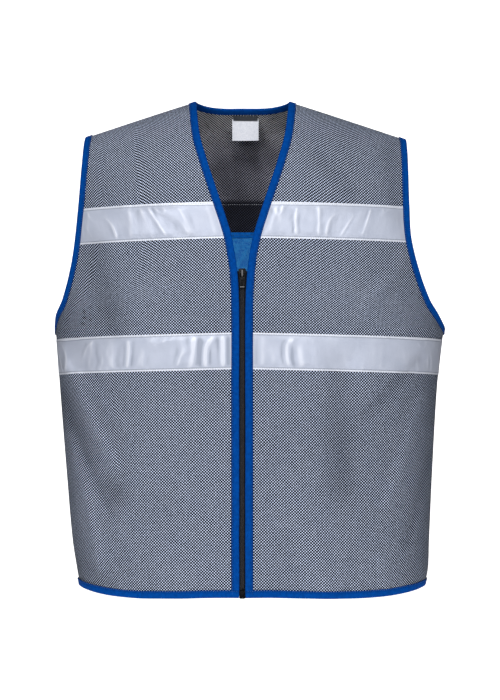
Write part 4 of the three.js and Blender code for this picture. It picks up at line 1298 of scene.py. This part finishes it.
def slider():
    half = SLIDER_WIDTH / 2
    reach = BAIL_LENGTH / 2 - BAIL_THICKNESS / 2
    out = SLIDER_FACE - BAIL_HOLLOW - BAIL_THICKNESS / 2
    turns = np.linspace(0, pi / 2, 7)
    foot = [(SLIDER_FACE + 0.0008, reach)]
    upper = [(out + BAIL_BEND * (1 - np.sin(t)), reach - BAIL_BEND * (1 - np.cos(t))) for t in turns]
    path = foot + upper + [(y, -z) for y, z in (foot + upper)[::-1]]
    path = np.array([(0.0, y, z + PULL_Z) for y, z in path])
    low, raised = -SLIDER_HEIGHT, 0.0012
    # The bail takes the light grey metal: a painted highlight.
    metal_piece("slider_body", "zip_slider", [
        plate(half, low, 0.0, SLIDER_CORNER, SLIDER_FACE, 0.0, SLIDER_EDGE, SLIDER_TAPER),
        plate(half - 0.0014, low + raised, -raised, 0.0015, SLIDER_FACE - 0.0002, SLIDER_FACE + 0.0003,
              0.0002, SLIDER_TAPER),
        plate(half, low, 0.0, SLIDER_CORNER, *SLIDER_REAR, SLIDER_EDGE, SLIDER_TAPER),
        plate(0.0015, -0.003, 0.0, 0.0007, -0.0002, SLIDER_REAR[0] + 0.0002, 0.0002),
        swept_bar(path, BAIL_WIDTH / 2, BAIL_THICKNESS / 2),
    ], highlighted=(4,))


def pull():
    """The pull: a plate whose upper bar passes under the bail, with a raised grip, ribs and a foot bar
    painted light grey as a highlight.
    """
    front, rear = PULL_Y - PULL_RADIUS, PULL_Y + PULL_RADIUS
    top, foot = PULL_Z + PULL_RADIUS, PULL_Z + PULL_RADIUS - PULL_LENGTH
    half = PULL_WIDTH / 2
    low, high = PULL_Z + WINDOW_FOOT, PULL_Z - PULL_RADIUS
    grip = half - 0.0011, foot + 0.0011, low - 0.0014
    parts = [
        window_plate(half, foot, top, PULL_CORNER, low, high, PULL_ARM, front, rear, PULL_EDGE),
        plate(*grip, 0.0012, front - 0.0003, front + 0.0004, 0.0003),
    ]
    for share in (0.3, 0.5, 0.7):
        z = lerp(foot, low, share)
        low_rib, high_rib = z - RIB_HALF, z + RIB_HALF
        parts.append(plate(half - 0.0018, low_rib, high_rib, RIB_HALF, front - RIB_RISE, front, 0.0002))
    # A raised bar at the foot, painted light grey as a highlight.
    parts.append(plate(half - 0.0012, foot + 0.0007, foot + 0.0022, 0.0006, front - RIB_RISE, front, 0.0003))
    metal_piece("pull_tab", "zip_pull", parts, ringed=(0,), highlighted=(5,), body="pull")


def zip_stop():
    """The retainer box and pin at the foot of the zip."""
    low, high = (np.array(corner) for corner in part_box("zip_box"))
    half = (high[0] - low[0]) / 2
    middle = (low[1] + high[1]) / 2
    metal_piece("retainer_box", "zip_box", [
        plate(half, low[2], high[2], 0.0018, low[1], high[1], 0.0006, 0.12),
        plate(half * 0.55, low[2] + 0.0012, high[2] - 0.003, 0.0006, low[1] - 0.0003, middle, 0.0002),
        plate(0.0009, high[2] - 0.001, high[2] + 0.006, 0.0005, middle - 0.001, middle + 0.001, 0.0003),
    ], place=lambda points: points)


front_panel(RIGHT)
front_panel(LEFT)
back_panel()
tapes()
bindings()
liner()
labels()
for side in (RIGHT, LEFT):
    zip_cloth(side)
coil()
slider()
pull()
zip_stop()

CAMERA_X = 0.0106
CAMERA_Z = -0.351
CAMERA_DISTANCE = 3.0
FOCAL_LENGTH = 108.65
SENSOR_WIDTH = 36
FLOOR_Z = -1.0
PALE = (0.92, 0.92, 0.92)
PAPER_GLOW = 0.9
PAPER_HALF = 1.6
PAPER_FRONT = -0.8
PAPER_BACK = 4.6
PAPER_BEND = 0.6
PAPER_TOP = 3.0
WORLD_STRENGTH = 0.1
LIGHT_AIM = Vector((0.0, 0.0, -0.35))
Light = namedtuple("Light", "name place size power")
LIGHTS = [
    Light("key_light", (-1.1, -2.9, 0.6), 0.9, 38),
    Light("fill_light", (1.1, -2.9, 0.3), 0.9, 25),
    Light("top_light", (0.0, -2.5, 1.7), 0.7, 52),
]


def camera():
    data = bpy.data.cameras.new("camera")
    data.lens = FOCAL_LENGTH
    data.sensor_width = SENSOR_WIDTH
    made = bpy.data.objects.new("camera", data)
    made.location = (CAMERA_X, -CAMERA_DISTANCE, CAMERA_Z)
    made.rotation_euler = (pi / 2, 0, 0)
    bpy.context.scene.collection.objects.link(made)
    bpy.context.scene.camera = made


def area_light(light):
    data = bpy.data.lights.new(light.name, "AREA")
    data.shape = "DISK"
    data.size = light.size
    data.energy = light.power
    made = bpy.data.objects.new(light.name, data)
    made.location = light.place
    made.rotation_euler = (LIGHT_AIM - Vector(light.place)).to_track_quat("-Z", "Y").to_euler()
    bpy.context.scene.collection.objects.link(made)


def studio():
    """A pale floor that curves up into a wall, soft lights and a dim surround."""
    turns = np.linspace(0, pi / 2, 17)
    profile = [(PAPER_FRONT, FLOOR_Z)]
    profile += [(PAPER_BACK + PAPER_BEND * np.sin(t), FLOOR_Z + PAPER_BEND * (1 - np.cos(t))) for t in turns]
    profile += [(PAPER_BACK + PAPER_BEND, PAPER_TOP)]
    rows = np.array([[(x, y, z) for x in (-PAPER_HALF, PAPER_HALF)] for y, z in profile])
    quads = [[2 * i, 2 * i + 1, 2 * i + 3, 2 * i + 2] for i in range(len(profile) - 1)]
    paper = Look("backdrop_paper", PALE, roughness=0.9)
    paper.bump(paper.noise(60.0, 3.0), 0.0004, 0.2)
    paper.set("Emission Color", (1, 1, 1, 1))
    paper.set("Emission Strength", PAPER_GLOW)
    mesh_object("backdrop", rows.reshape(-1, 3), quads, [paper.material])
    for light in LIGHTS:
        area_light(light)
    world = bpy.data.worlds.new("studio")
    world.use_nodes = True
    world.node_tree.nodes["Background"].inputs[0].default_value = (1, 1, 1, 1)
    world.node_tree.nodes["Background"].inputs[1].default_value = WORLD_STRENGTH
    bpy.context.scene.world = world
    bpy.context.scene.view_settings.view_transform = "Standard"


camera()
studio()
